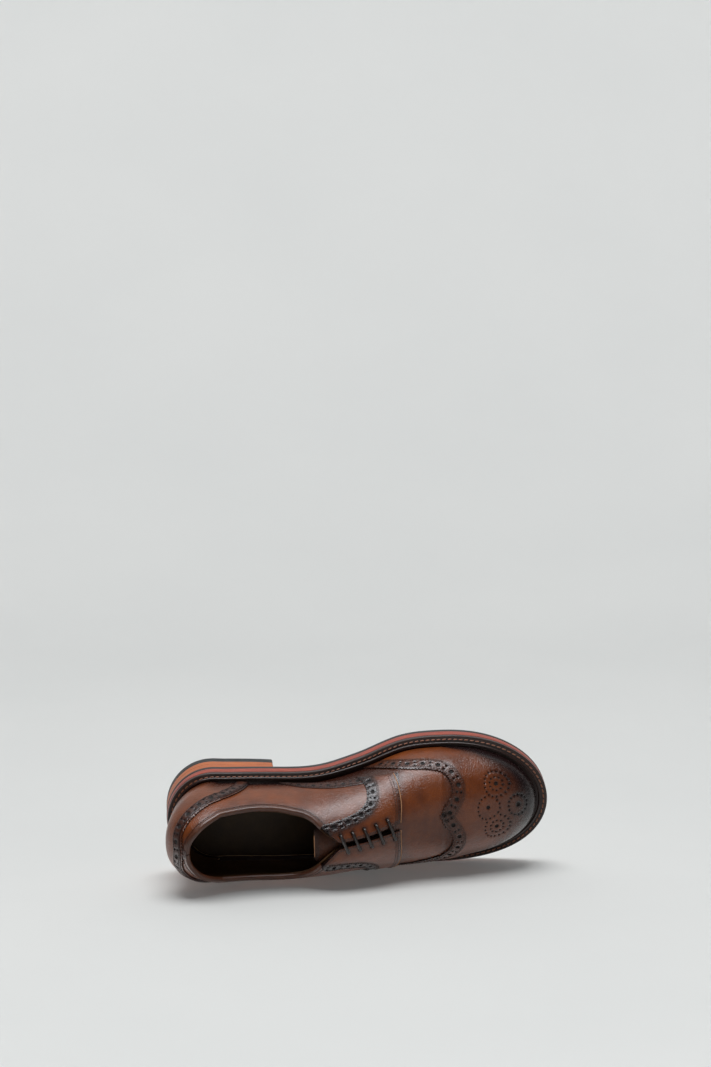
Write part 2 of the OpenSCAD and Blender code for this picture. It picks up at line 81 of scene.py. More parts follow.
def curve(pts, x):
    P = np.asarray(pts, float)
    X, Y = P[:, 0], P[:, 1]
    n = len(X)
    j, k = np.maximum(np.arange(n) - 1, 0), np.minimum(np.arange(n) + 1, n - 1)
    M = (Y[k] - Y[j]) / (X[k] - X[j])
    x = np.asarray(x, float)
    i = np.clip(np.searchsorted(X, x, side="right") - 1, 0, n - 2)
    h = X[i + 1] - X[i]
    t = np.clip((x - X[i]) / h, 0, 1)
    return (Y[i] * (1 + 2 * t) * (1 - t) ** 2 + h * M[i] * t * (1 - t) ** 2
            + Y[i + 1] * t * t * (3 - 2 * t) + h * M[i + 1] * t * t * (t - 1))


def along(p):
    return [[v[0] * L, v[1]] for v in p]


BT = SOLE_T
BEND = along([[0, 0], [0.205, -2.5], [0.394, -6.5], [0.514, -3.5], [0.634, 1.5], [0.788, 3.5], [1, 5]])
HALF = along([[0, HEEL_HALF], [0.123, HEEL_HALF + 0.2], [0.257, WAIST], [0.377, WAIST],
              [0.514, WAIST * 0.7 + BALL * 0.3], [0.634, BALL - 1], [0.726, BALL], [1, BALL]])
SEAT = along([[-0.041, RISE + 0.5], [0, RISE], [0.123, RISE - 0.5], [0.257, RISE - 3],
              [0.377, BT + (RISE - BT) * 0.56],
              [0.514, BT + (RISE - BT) * 0.18], [0.65, BT], [0.736, BT], [0.856, BT + SPRING * 0.286],
              [1, BT + SPRING],
              [1.041, BT + SPRING * 1.24]])
CE = BT + TOE_H
share = lambda t: CE + (INSTEP - CE) * t
CREST = along([[0.123, INSTEP + 15.5], [0.257, INSTEP + 7.5], [0.377, INSTEP], [0.445, share(0.85)],
               [0.514, share(0.667)],
               [0.582, share(0.433)], [0.65, share(0.2)], [0.712, CE + 0.75], [0.726, CE], [0.74, CE - 0.7]])
HH = float(curve(CREST, LH) - curve(SEAT, LH))
HEEL_FAN = [[90, HH], [94, HH + 1], [110, HH - 0.5], [135, HH * 0.846], [150, HH * 0.671], [165, LH + 6],
            [180, LH]]
TL = L - LC
TOE_FAN = [[0, TL], [10, TL - 2.5], [20, TL - 9], [35, TOE_H + 11], [50, TOE_H + 4], [70, TOE_H + 1],
           [86, TOE_H - 0.7],
           [90, TOE_H]]
ROUND_SIDE = [[0, 2.1], [1, 2.3], [1.6, 1.8], [2, 2.1], [3, 2.03]]
ROUND_TOP = [[0, 2.2], [1, 3], [1.6, 2.5], [2, 2.4], [3, 2.3]]
BULGE = [[0, 0.02], [0.5, 0.05], [1.6, 0.05], [2, 0.03], [3, 0]]


def shell(a, b):
    a, b = np.broadcast_arrays(np.asarray(a, float), np.asarray(b, float))
    l0 = np.where(a < 1, LH, np.where(a > 2, LC, LH + (a - 1) * (LC - LH)))
    al = np.where(a < 1, 180 - 90 * a, np.where(a > 2, 90 * (3 - a), 90.0))
    R = np.where(a < 1, curve(HEEL_FAN, al),
                 np.where(a > 2, curve(TOE_FAN, al), curve(CREST, l0) - curve(SEAT, l0)))
    t = np.minimum(np.abs(b), 1) * math.pi / 2
    u = np.maximum(np.cos(t), 0) ** (2 / curve(ROUND_TOP, a))
    w = R * u
    sa, ca = np.sin(np.radians(al)), np.cos(np.radians(al))
    l = l0 + w * ca
    s = (np.sign(b) * curve(HALF, l0) * np.sin(t) ** (2 / curve(ROUND_SIDE, a))
         * (1 + curve(BULGE, a) * np.sin(math.pi * u ** 0.8)))
    z = curve(SEAT, l) * (1 - sa) + curve(SEAT, l0) * sa + w * sa
    return np.stack([l, s + curve(BEND, l), z], -1)


def unit(v):
    return v / np.maximum(np.linalg.norm(v, axis=-1, keepdims=True), 1e-12)


def arc(P):
    """The length along a line of points, at each point."""
    return np.concatenate([[0], np.cumsum(np.linalg.norm(np.diff(P, axis=0), axis=1))])


def normal(a, b):
    e = 0.004
    a, b = np.broadcast_arrays(np.asarray(a, float), np.asarray(b, float))
    c = np.clip(b, -0.994, 0.994)
    da = shell(np.minimum(a + e, 3), c) - shell(np.maximum(a - e, 0), c)
    db = shell(a, np.minimum(b + e, 0.998)) - shell(a, np.maximum(b - e, -0.998))
    return unit(np.cross(da, db))


def skin(a, b, d):
    return shell(a, b) + np.asarray(d, float)[..., None] * normal(a, b)


def feather(side, n1, n2):
    m = [shell(0, side * b) for b in np.linspace(0, 0.97, n1 + 1)]
    m += [shell(a, side) for a in np.linspace(1.02, 1.98, n2 + 1)]
    m += [shell(3, side * b) for b in np.linspace(0.97, 0, n1 + 1)]
    return np.array(m)


REACH = along([[0, 6], [0.37, 6], [0.55, 7.3], [0.72, 7.6], [1, 7.6]])


def closed_loop(n1, n2):
    f = feather(-1, n1, n2)
    return np.concatenate([feather(1, n1, n2), f[-2:0:-1]])


def offset_loop(P, extra, reach):
    t = np.roll(P, -1, 0)[:, :2] - np.roll(P, 1, 0)[:, :2]
    t = t / np.linalg.norm(t, axis=1, keepdims=True)
    o = extra + reach * curve(REACH, P[:, 0])
    return np.stack([P[:, 0] - t[:, 1] * o, P[:, 1] + t[:, 0] * o], -1)


coarse = offset_loop(closed_loop(11, 16), 0, 1)
heel_line = skin(np.linspace(0.1, 0.7, 41), np.zeros(41), np.full(41, 0.75 * QUARTER_TOP))
MID = (min(coarse[:, 0].min(), heel_line[:, 0].min()) + coarse[:, 0].max()) / 2
SIDE = (coarse[:, 1].min() + coarse[:, 1].max()) / 2


def place(p):
    p = np.asarray(p, float)
    return np.stack([(p[..., 1] - SIDE), (MID - p[..., 0]), p[..., 2]], -1) / 1000


def vec(v):
    """A direction in length, side, height as a direction in the row frame."""
    v = np.asarray(v, float)
    return np.stack([v[..., 1], -v[..., 0], v[..., 2]], -1)


# ---------------------------------------------------------------- camera, at the photograph's angle
cam_data = bpy.data.cameras.new("camera")
cam = bpy.data.objects.new("camera", cam_data)
scene.collection.objects.link(cam)
scene.camera = cam
cam_data.lens = 106.35
cam_data.sensor_width = 36
cam_data.clip_end = 30
eye = place([-52.43, 1004.01, 2340.95])
fwd, right, down = vec([0.0808, -0.3144, -0.9458]), vec([0.9963, -0.0027, 0.0860]), vec([-0.0296, -0.9493,
                                                                                         0.3130])
m = Matrix.Identity(4)
for r in range(3):
    m[r][0], m[r][1], m[r][2], m[r][3] = right[r], -down[r], -fwd[r], eye[r]
cam.matrix_world = m


# ---------------------------------------------------------------- materials
def material(name):
    mat = bpy.data.materials.new(name)
    mat.use_nodes = True
    nt = mat.node_tree
    return mat, nt, nt.nodes["Principled BSDF"]


def node(nt, kind, **values):
    n = nt.nodes.new(kind)
    for k, v in values.items():
        if hasattr(n, k):
            setattr(n, k, v)
        else:
            n.inputs[k.replace("_", " ")].default_value = v
    return n


def coords(nt, scale=(1, 1, 1)):
    tc = node(nt, "ShaderNodeTexCoord")
    mp = node(nt, "ShaderNodeMapping")
    mp.inputs["Scale"].default_value = scale
    nt.links.new(tc.outputs["Object"], mp.inputs["Vector"])
    return mp.outputs["Vector"]


def ramp(nt, src, stops):
    r = node(nt, "ShaderNodeValToRGB")
    e = r.color_ramp.elements
    while len(e) < len(stops):
        e.new(0.5)
    for k, (pos, col) in enumerate(stops):
        e[k].position = pos
        e[k].color = (col, col, col, 1) if isinstance(col, (int, float)) else (*col, 1)
    nt.links.new(src, r.inputs[0])
    return r.outputs[0]


def mix(nt, fac, a, b, mode="MIX"):
    m = node(nt, "ShaderNodeMix", data_type="RGBA", blend_type=mode)
    for k, val in ((0, fac), (6, a), (7, b)):
        if hasattr(val, "is_output"):
            nt.links.new(val, m.inputs[k])
        elif k == 0:
            m.inputs[k].default_value = val
        else:
            m.inputs[k].default_value = (*val, 1)
    return m.outputs[2]


def math_node(nt, op, a, b=0.0, clamp=False):
    n = node(nt, "ShaderNodeMath", operation=op, use_clamp=clamp)
    for i, v in enumerate((a, b)):
        if hasattr(v, "is_output"):
            nt.links.new(v, n.inputs[i])
        else:
            n.inputs[i].default_value = v
    return n.outputs[0]


def leather(name, light, mid, dark, grain=1.0, rough=(0.34, 0.5), coat=0.1, spec=0.34):
    """Waxed grained leather: fine pebbles, cloudy colour, darker where the burn attribute says."""
    mat, nt, bsdf = material(name)
    co = coords(nt)
    cloud = node(nt, "ShaderNodeTexNoise", Scale=38.0, Detail=5.0, Roughness=0.6)
    fine = node(nt, "ShaderNodeTexNoise", Scale=420.0, Detail=6.0, Roughness=0.62)
    streak = node(nt, "ShaderNodeTexNoise", Scale=120.0, Detail=3.0, Roughness=0.5)
    cell = node(nt, "ShaderNodeTexVoronoi", feature="DISTANCE_TO_EDGE", Scale=620.0, Randomness=1.0)
    big = node(nt, "ShaderNodeTexVoronoi", feature="SMOOTH_F1", Scale=330.0, Randomness=1.0)
    warp = node(nt, "ShaderNodeVectorMath", operation="MULTIPLY_ADD")
    wn = node(nt, "ShaderNodeTexNoise", Scale=260.0, Detail=2.0)
    nt.links.new(co, wn.inputs["Vector"])
    nt.links.new(wn.outputs["Color"], warp.inputs[0])
    warp.inputs[1].default_value = (0.0014, 0.0014, 0.0014)
    nt.links.new(co, warp.inputs[2])
    for t in (cloud, fine, streak):
        nt.links.new(co, t.inputs["Vector"])
    for t in (cell, big):
        nt.links.new(warp.outputs[0], t.inputs["Vector"])
    pebble = ramp(nt, cell.outputs["Distance"], [(0.0, 0.0), (0.13, 0.7), (0.35, 1.0)])
    burn = node(nt, "ShaderNodeAttribute", attribute_name="burn")
    patch_noise = ramp(nt, cloud.outputs[0], [(0.32, 0.0), (0.68, 1.0)])
    col = mix(nt, patch_noise, mid, light)
    tint = ramp(nt, streak.outputs[0], [(0.35, 0.86), (0.65, 1.08)])
    col = mix(nt, 1.0, col, tint, "MULTIPLY")
    crease = ramp(nt, pebble, [(0.0, 0.72), (0.6, 1.0)])
    col = mix(nt, 0.8, col, crease, "MULTIPLY")
    ragged = math_node(nt, "MULTIPLY", math_node(nt, "SUBTRACT", cloud.outputs[0], 0.5), 0.35)
    edge = math_node(nt, "ADD", burn.outputs["Fac"], ragged)
    fac = ramp(nt, edge, [(0.08, 0.0), (0.85, 1.0)])
    col = mix(nt, fac, col, dark)
    nt.links.new(col, bsdf.inputs["Base Color"])
    rr = math_node(nt, "ADD", math_node(nt, "MULTIPLY", fine.outputs[0], rough[1] - rough[0]),
                   rough[0] - 0.02)
    rr = math_node(nt, "SUBTRACT", rr, math_node(nt, "MULTIPLY", fac, 0.05), clamp=True)
    nt.links.new(rr, bsdf.inputs["Roughness"])
    bsdf.inputs["Specular IOR Level"].default_value = spec
    bsdf.inputs["Coat Weight"].default_value = coat
    bsdf.inputs["Coat Roughness"].default_value = 0.2
    b1 = node(nt, "ShaderNodeBump", Strength=0.7 * grain, Distance=0.00042)
    b2 = node(nt, "ShaderNodeBump", Strength=0.45 * grain, Distance=0.00055)
    b3 = node(nt, "ShaderNodeBump", Strength=0.25, Distance=0.00012)
    nt.links.new(pebble, b1.inputs["Height"])
    nt.links.new(big.outputs["Distance"], b2.inputs["Height"])
    nt.links.new(fine.outputs[0], b3.inputs["Height"])
    nt.links.new(b1.outputs[0], b2.inputs["Normal"])
    nt.links.new(b2.outputs[0], b3.inputs["Normal"])
    nt.links.new(b3.outputs[0], bsdf.inputs["Normal"])
    return mat


def plain(name, col, col2, rough, scale=200.0, bump=0.0001, spec=0.5, metal=0.0, stretch=(1, 1, 1),
          contrast=(0.35, 0.65)):
    mat, nt, bsdf = material(name)
    co = coords(nt, stretch)
    n1 = node(nt, "ShaderNodeTexNoise", Scale=scale, Detail=5.0, Roughness=0.6)
    n2 = node(nt, "ShaderNodeTexNoise", Scale=scale * 7, Detail=3.0, Roughness=0.6)
    for t in (n1, n2):
        nt.links.new(co, t.inputs["Vector"])
    tone = mix(nt, ramp(nt, n1.outputs[0], [(contrast[0], 0.0), (contrast[1], 1.0)]), col, col2)
    nt.links.new(tone, bsdf.inputs["Base Color"])
    rr = math_node(nt, "ADD", math_node(nt, "MULTIPLY", n2.outputs[0], 0.16), rough - 0.08, clamp=True)
    nt.links.new(rr, bsdf.inputs["Roughness"])
    bsdf.inputs["Specular IOR Level"].default_value = spec
    bsdf.inputs["Metallic"].default_value = metal
    bp = node(nt, "ShaderNodeBump", Strength=0.6, Distance=bump)
    nt.links.new(n2.outputs[0], bp.inputs["Height"])
    nt.links.new(bp.outputs[0], bsdf.inputs["Normal"])
    return mat


tan = leather("upper_leather", (0.19, 0.045, 0.008), (0.105, 0.023, 0.0045), (0.010, 0.004, 0.004),
              coat=0.16, spec=0.42, grain=0.42, rough=(0.26, 0.4))
band = leather("band_leather", (0.09, 0.023, 0.007), (0.055, 0.014, 0.005), (0.011, 0.005, 0.006),
               grain=0.45, rough=(0.28, 0.44), coat=0.12)
raw_edge = plain("cut_edge", (0.42, 0.2, 0.09), (0.3, 0.13, 0.055), 0.7, 900)
# painted shade: a near-black material for the discs in the punched holes, where the leather below is only in
# shadow
hole_shade_paint = plain("hole_painted_shade", (0.006, 0.004, 0.003), (0.012, 0.007, 0.005), 0.8, 900)
binding = leather("binding_leather", (0.10, 0.032, 0.014), (0.06, 0.02, 0.01), (0.012, 0.006, 0.006),
                  grain=0.4, rough=(0.28, 0.4), coat=0.3)
lining = leather("lining_leather", (0.075, 0.032, 0.009), (0.05, 0.021, 0.006), (0.02, 0.009, 0.004),
                 grain=0.35, rough=(0.5, 0.66), coat=0.0, spec=0.35)
sock = leather("sock_leather", (0.034, 0.017, 0.005), (0.024, 0.012, 0.004), (0.012, 0.006, 0.003),
               grain=0.3, rough=(0.55, 0.7), coat=0.0, spec=0.3)
tongue_mat = leather("tongue_leather", (0.10, 0.03, 0.011), (0.06, 0.018, 0.008), (0.012, 0.006, 0.005),
                     grain=0.9)
thread_dark = plain("upper_thread", (0.02, 0.01, 0.007), (0.05, 0.02, 0.012), 0.6, 1500)
thread_tan = plain("welt_thread", (0.3, 0.10, 0.04), (0.18, 0.06, 0.028), 0.55, 1500)
lace_mat = plain("lace_cord", (0.010, 0.006, 0.005), (0.022, 0.012, 0.009), 0.36, 1400, bump=0.00012,
                 spec=0.6)
rubber = plain("sole_rubber", (0.006, 0.007, 0.007), (0.012, 0.014, 0.014), 0.5, 260, bump=0.00008)
stack = plain("stacked_leather", (0.44, 0.115, 0.024), (0.3, 0.07, 0.016), 0.42, 60, stretch=(1, 1, 14))
mid_mat = plain("midsole_leather", (0.33, 0.05, 0.022), (0.2, 0.03, 0.016), 0.4, 60, stretch=(1, 1, 12))
welt_mat = leather("welt_leather", (0.03, 0.011, 0.007), (0.018, 0.007, 0.005), (0.009, 0.004, 0.004),
                   grain=0.3, rough=(0.3, 0.45), coat=0.15)
brass = plain("nail_brass", (0.6, 0.42, 0.18), (0.5, 0.33, 0.13), 0.35, 600, metal=1.0)
steel = plain("shank_steel", (0.5, 0.5, 0.5), (0.6, 0.6, 0.6), 0.4, 300, metal=1.0)
cork = plain("cork", (0.35, 0.22, 0.12), (0.22, 0.12, 0.06), 0.8, 700)
insole_mat = plain("insole_leather", (0.5, 0.33, 0.18), (0.42, 0.26, 0.13), 0.6, 300)


# ---------------------------------------------------------------- mesh helpers
def build(name, verts, faces, mats, body="shoe", face_mats=None, burn=None, sharp=0.7, merge=False,
          replaces=()):
    me = bpy.data.meshes.new(name)
    me.from_pydata([tuple(v) for v in verts], [], [tuple(int(i) for i in f) for f in faces])
    for mt in (mats if isinstance(mats, (list, tuple)) else [mats]):
        me.materials.append(mt)
    if face_mats is not None:
        me.polygons.foreach_set("material_index", np.asarray(face_mats, np.int32))
    att = me.attributes.new("burn", "FLOAT", "POINT")
    att.data.foreach_set("value", np.asarray(burn if burn is not None else np.zeros(len(verts)), np.float32))
    if merge:
        import bmesh
        bm = bmesh.new()
        bm.from_mesh(me)
        bmesh.ops.remove_doubles(bm, verts=bm.verts, dist=2e-6)
        bmesh.ops.dissolve_degenerate(bm, edges=bm.edges, dist=1e-7)
        bmesh.ops.recalc_face_normals(bm, faces=bm.faces)
        bm.to_mesh(me)
        bm.free()
    me.polygons.foreach_set("use_smooth", np.ones(len(me.polygons), bool))
    me.set_sharp_from_angle(angle=sharp)
    me.validate()
    ob = bpy.data.objects.new(name, me)
    scene.collection.objects.link(ob)
    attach(ob, body)
    if replaces:
        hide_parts(*replaces)
    return ob


def spline(points, n=14):
    """A smooth curve through chart points (Catmull-Rom)."""
    P = np.asarray(points, float)
    Q = np.vstack([2 * P[0] - P[1], P, 2 * P[-1] - P[-2]])
    out = []
    for i in range(1, len(Q) - 2):
        t = np.linspace(0, 1, n, endpoint=False)[:, None]
        out.append(0.5 * (2 * Q[i] + (Q[i + 1] - Q[i - 1]) * t
                          + (2 * Q[i - 1] - 5 * Q[i] + 4 * Q[i + 1] - Q[i + 2]) * t ** 2
                          + (3 * Q[i] - Q[i - 1] - 3 * Q[i + 1] + Q[i + 2]) * t ** 3))
    out.append(P[-1:])
    return np.vstack(out)


def resample(poly, pitch, whole=True):
    """Chart points at equal distances, in mm, along the surface."""
    P3 = shell(poly[:, 0], poly[:, 1])
    s = arc(P3)
    n = max(2, int(round(s[-1] / pitch)))
    q = np.linspace(0, s[-1], n + 1)
    return np.stack([np.interp(q, s, poly[:, 0]), np.interp(q, s, poly[:, 1])], -1)


def metric(a, b):
    e = 1e-3
    bb = np.clip(b, -0.99, 0.99)
    Pa = (shell(a + e, bb) - shell(a - e, bb)) / (2 * e)
    Pb = (shell(a, bb + e) - shell(a, bb - e)) / (2 * e)
    return Pa, Pb, unit(np.cross(Pa, Pb))


def to_chart(Pa, Pb, v):
    g11, g12, g22 = (Pa * Pa).sum(-1), (Pa * Pb).sum(-1), (Pb * Pb).sum(-1)
    r1, r2 = (Pa * v).sum(-1), (Pb * v).sum(-1)
    det = g11 * g22 - g12 ** 2
    return np.stack([(g22 * r1 - g12 * r2) / det, (g11 * r2 - g12 * r1) / det], -1)


def frames(poly):
    d = np.gradient(poly, axis=0)
    Pa, Pb, n = metric(poly[:, 0], poly[:, 1])
    T = unit(Pa * d[:, :1] + Pb * d[:, 1:])
    return Pa, Pb, n, T, np.cross(n, T)


def offset(poly, dist):
    """The chart curve moved sideways on the surface: positive is to the left, seen from outside."""
    Pa, Pb, n, T, B = frames(poly)
    out = poly + to_chart(Pa, Pb, B * dist)
    P3 = shell(out[:, 0], out[:, 1])
    ok = np.ones(len(out), bool)
    ok[1:] = ((np.diff(P3, axis=0)) * T[1:]).sum(-1) > -0.02
    out = out[ok]
    out[:, 1] = np.clip(out[:, 1], -EDGE, EDGE)
    return out


def pinked(poly, side, pitch=2.5, depth=1.15):
    p = resample(poly, pitch / 2)
    Pa, Pb, n, T, B = frames(p)
    h = np.where(np.arange(len(p)) % 2 == 0, 0.0, side * depth)[:, None]
    out = p + to_chart(Pa, Pb, B * h)
    out[:, 1] = np.clip(out[:, 1], -EDGE, EDGE)
    return out


def inside(loop, pts):
    x, y = pts[:, 0], pts[:, 1]
    res = np.zeros(len(pts), bool)
    x0, y0 = loop[:, 0], loop[:, 1]
    x1, y1 = np.roll(x0, -1), np.roll(y0, -1)
    for i in range(len(loop)):
        c = (y0[i] > y) != (y1[i] > y)
        if c.any():
            xi = (x1[i] - x0[i]) * (y - y0[i]) / (y1[i] - y0[i] + 1e-15) + x0[i]
            res ^= c & (x < xi)
    return res


# about how many mm one unit of the chart is, along the shoe and around it
KA, KB = 130.0, 95.0


def panel(name, loop, holes, top, mat, replaces=(), step=1.5, thick=LEATHER, burn=None, body="shoe",
          bevel=0.3, side_mat=None):
    """A leather piece cut to a chart outline, with round holes, a softened edge and its full thickness."""
    K = np.array([KA, KB])
    keep = [0]
    for i in range(1, len(loop)):
        if np.linalg.norm((loop[i] - loop[keep[-1]]) * K) > 0.05:
            keep.append(i)
    loop = loop[keep]
    if np.linalg.norm((loop[0] - loop[-1]) * K) < 0.05:
        loop = loop[:-1]
    verts = [tuple(p) for p in loop * K]
    n0 = len(verts)
    edges = [(i, (i + 1) % n0) for i in range(n0)]
    hole_c = np.array([[h[0], h[1]] for h in holes]).reshape(-1, 2)
    rings = []
    if len(holes):
        Pa, Pb, n = metric(hole_c[:, 0], hole_c[:, 1])
        e1 = unit(Pa)
        e2 = np.cross(n, e1)
        for k, h in enumerate(holes):
            m_ = 12 if h[2] > 1 else 8
            th = np.arange(m_) * 2 * math.pi / m_
            v = h[2] * (np.cos(th)[:, None] * e1[k] + np.sin(th)[:, None] * e2[k])
            ring = hole_c[k] + to_chart(Pa[k][None], Pb[k][None], v)
            i0 = len(verts)
            verts += [tuple(p) for p in ring * K]
            edges += [(i0 + i, i0 + (i + 1) % m_) for i in range(m_)]
            rings.append(ring)
    lo, hi = loop.min(0), loop.max(0)
    xs = np.arange(lo[0] * KA, hi[0] * KA, step)
    ys = np.arange(lo[1] * KB, hi[1] * KB, step * 0.87)
    gx, gy = np.meshgrid(xs, ys)
    gx = gx + (np.arange(len(ys)) % 2)[:, None] * step / 2
    g = np.stack([gx.ravel(), gy.ravel()], -1)
    g = g[inside(loop * K, g)]
    kd = KDTree(n0)
    for i in range(n0):
        kd.insert((verts[i][0], verts[i][1], 0), i)
    kd.balance()
    far = np.array([kd.find((p[0], p[1], 0))[2] > 0.65 * step for p in g],
                   bool) if len(g) else np.zeros(0, bool)
    g = g[far]
    if len(holes):
        hs = hole_c * K
        ok = np.ones(len(g), bool)
        for k in range(len(hs)):
            rr = max(np.linalg.norm((rings[k] - hole_c[k]) * K, axis=1).max(), 0.3)
            near = np.abs(g - hs[k]).max(1) < rr + 2
            ok &= ~(near & (np.linalg.norm(g - hs[k], axis=1) < rr + 0.35))
        g = g[ok]
    verts += [tuple(p) for p in g]
    V, E, F, *_ = delaunay_2d_cdt([Vector(p) for p in verts], edges, [], 0, 1e-5)
    V = np.array([(v[0], v[1]) for v in V])
    F = np.array([f for f in F if len(f) == 3])
    c = V[F].mean(1)
    ok = inside(loop * K, c)
    for k in range(len(holes)):
        near = np.abs(c - hole_c[k] * K).max(1) < 8
        idx = np.where(near & ok)[0]
        if len(idx):
            ok[idx[inside(rings[k] * K, c[idx])]] = False
    F = F[ok]
    used = np.unique(F)
    back = -np.ones(len(V), int)
    back[used] = np.arange(len(used))
    V, F = V[used], back[F]
    ab = V / K
    s1, s2 = V[F[:, 1]] - V[F[:, 0]], V[F[:, 2]] - V[F[:, 0]]
    ar = s1[:, 0] * s2[:, 1] - s1[:, 1] * s2[:, 0]
    F[ar < 0] = F[ar < 0][:, ::-1]
    und = {}
    for f in F:
        for i in range(3):
            p, q = int(f[i]), int(f[(i + 1) % 3])
            if (q, p) in und:
                del und[(q, p)]
            else:
                und[(p, q)] = 1
    bound = list(und)
    on = np.zeros(len(V), bool)
    for p, q in bound:
        on[p] = on[q] = True
    d = top(ab[:, 0], ab[:, 1]) if callable(top) else np.full(len(ab), float(top))
    P = shell(ab[:, 0], ab[:, 1])
    N = normal(ab[:, 0], ab[:, 1])
    up = place(P + N * (d - np.where(on, bevel, 0))[:, None])
    lowp = place(P + N * (d - thick)[:, None])
    kd = KDTree(max(1, int(on.sum())))
    for j, i in enumerate(np.where(on)[0]):
        kd.insert(up[i], j)
    kd.balance()
    dist = np.array([kd.find(u)[2] for u in up]) * 1000
    B = burn(ab[:, 0], ab[:, 1], dist) if burn else np.clip(1 - dist / 5, 0, 1) * 0.6
    n = len(V)
    faces = [tuple(f) for f in F] + [tuple(f[::-1] + n) for f in F] + [(p, p + n, q + n, q) for p, q in bound]
    fm = [0] * (2 * len(F)) + [1] * len(bound)
    return build(name, np.vstack([up, lowp]), faces, [mat, side_mat or mat], body, fm,
                 np.concatenate([B, np.ones(n)]),
                 sharp=0.9, replaces=replaces)


def discs(name, holes, depth, mat, grow=1.25):
    """Near-black discs in punched holes: painted shade over the leather that lies under them."""
    if not holes:
        return None
    verts, faces = [], []
    for a, b, r in holes:
        Pa, Pb, n = metric(np.array([a]), np.array([b]))
        e1 = unit(Pa)[0]
        e2 = np.cross(n[0], e1)
        d = depth(a, b) if callable(depth) else depth
        c = shell(a, b) + n[0] * d
        i0 = len(verts)
        for zz in (0.0, -0.12):
            for k in range(10):
                th = 2 * math.pi * k / 10
                verts.append(place(c + n[0] * zz + r * grow * (math.cos(th) * e1 + math.sin(th) * e2)))
        faces.append(tuple(range(i0, i0 + 10)))
        faces.append(tuple(range(i0 + 19, i0 + 9, -1)))
        faces += [(i0 + k, i0 + 10 + k, i0 + 10 + (k + 1) % 10, i0 + (k + 1) % 10) for k in range(10)]
    return build(name, verts, faces, mat)


def capsule_parts(sides=6):
    rows = [(-0.5, 0.0), (-0.44, 0.7), (-0.2, 1.0), (0.2, 1.0), (0.44, 0.7), (0.5, 0.0)]
    V, F = [], []
    V.append((-0.5, 0, 0))
    for x, r in rows[1:-1]:
        for k in range(sides):
            th = 2 * math.pi * k / sides
            V.append((x, r * math.cos(th), r * math.sin(th)))
    V.append((0.5, 0, 0))
    for k in range(sides):
        F.append((0, 1 + (k + 1) % sides, 1 + k))
        for r in range(3):
            i = 1 + r * sides
            F.append((i + k, i + (k + 1) % sides, i + sides + (k + 1) % sides, i + sides + k))
        F.append((len(V) - 1, 1 + 3 * sides + k, 1 + 3 * sides + (k + 1) % sides))
    return np.array(V), F


CAP_V, CAP_F = capsule_parts()


def stitches(name, P, T, N, length, r, mat, body="shoe", slant=0.0):
    """Threads: one rounded stitch at each point, lying along T."""
    B = np.cross(N, T)
    T = unit(T + slant * B)
    B = np.cross(N, T)
    n = len(P)
    V = (P[:, None, :] + CAP_V[None, :, :1] * (T * length)[:, None, :]
         + CAP_V[None, :, 1:2] * (B * r)[:, None, :] + CAP_V[None, :, 2:3] * (N * r)[:, None, :])
    verts = place(V.reshape(-1, 3))
    k = len(CAP_V)
    faces = [tuple(i * k + j for j in f) for i in range(n) for f in CAP_F]
    return build(name, verts, faces, mat, body)


def stitch_rows(name, rows, mat=None, pitch=2.1, length=1.6, r=0.27, body="shoe"):
    """Rows of [chart curve, depth function]."""
    Ps, Ts, Ns = [], [], []
    for poly, depth in rows:
        q = resample(poly, pitch)
        if len(q) < 3:
            continue
        mid = (q[1:] + q[:-1]) / 2
        mid = mid[(np.abs(mid[:, 1]) < 0.985)]
        if len(mid) < 3:
            continue
        Pa, Pb, n, T, B = frames(mid)
        d = depth(mid[:, 0], mid[:, 1]) if callable(depth) else np.full(len(mid), float(depth))
        Ps.append(shell(mid[:, 0], mid[:, 1]) + n * (d + r * 0.35)[:, None])
        Ts.append(T)
        Ns.append(n)
    return stitches(name, np.vstack(Ps), np.vstack(Ts), np.vstack(Ns), length, r, mat or thread_dark, body)


def brogue(poly, pitch=6.2, big=1.75, small=0.78, gap=1.75):
    """Large holes along a chart curve, with a pair of small ones between each two."""
    q = resample(poly, pitch)
    Pa, Pb, n, T, B = frames(q)
    out = []
    for i in range(len(q)):
        if abs(q[i, 1]) > 0.965:
            continue
        if i % 2 == 0:
            out.append((q[i, 0], q[i, 1], big))
        else:
            for s in (-gap, gap):
                c = q[i] + to_chart(Pa[i][None], Pb[i][None], (B[i] * s)[None])[0]
                out.append((c[0], c[1], small))
    return out


def tube(pts, nrm, r, sides=14):
    """Points and faces of a closed round tube along pts."""
    P = np.asarray(pts, float)
    T_ = unit(np.gradient(P, axis=0))
    nrm = unit(nrm - (nrm * T_).sum(-1, keepdims=True) * T_)
    Bn = np.cross(T_, nrm)
    V = []
    for k in range(sides):
        th = 2 * math.pi * k / sides
        V.append(P + r * (math.cos(th) * Bn + math.sin(th) * nrm))
    V = np.array(V).transpose(1, 0, 2).reshape(-1, 3)
    n = len(P)
    F = []
    for i in range(n - 1):
        for k in range(sides):
            k2 = (k + 1) % sides
            F.append((i * sides + k, i * sides + k2, (i + 1) * sides + k2, (i + 1) * sides + k))
    F.append(tuple(reversed(range(sides))))
    F.append(tuple((n - 1) * sides + k for k in range(sides)))
    return place(V), F


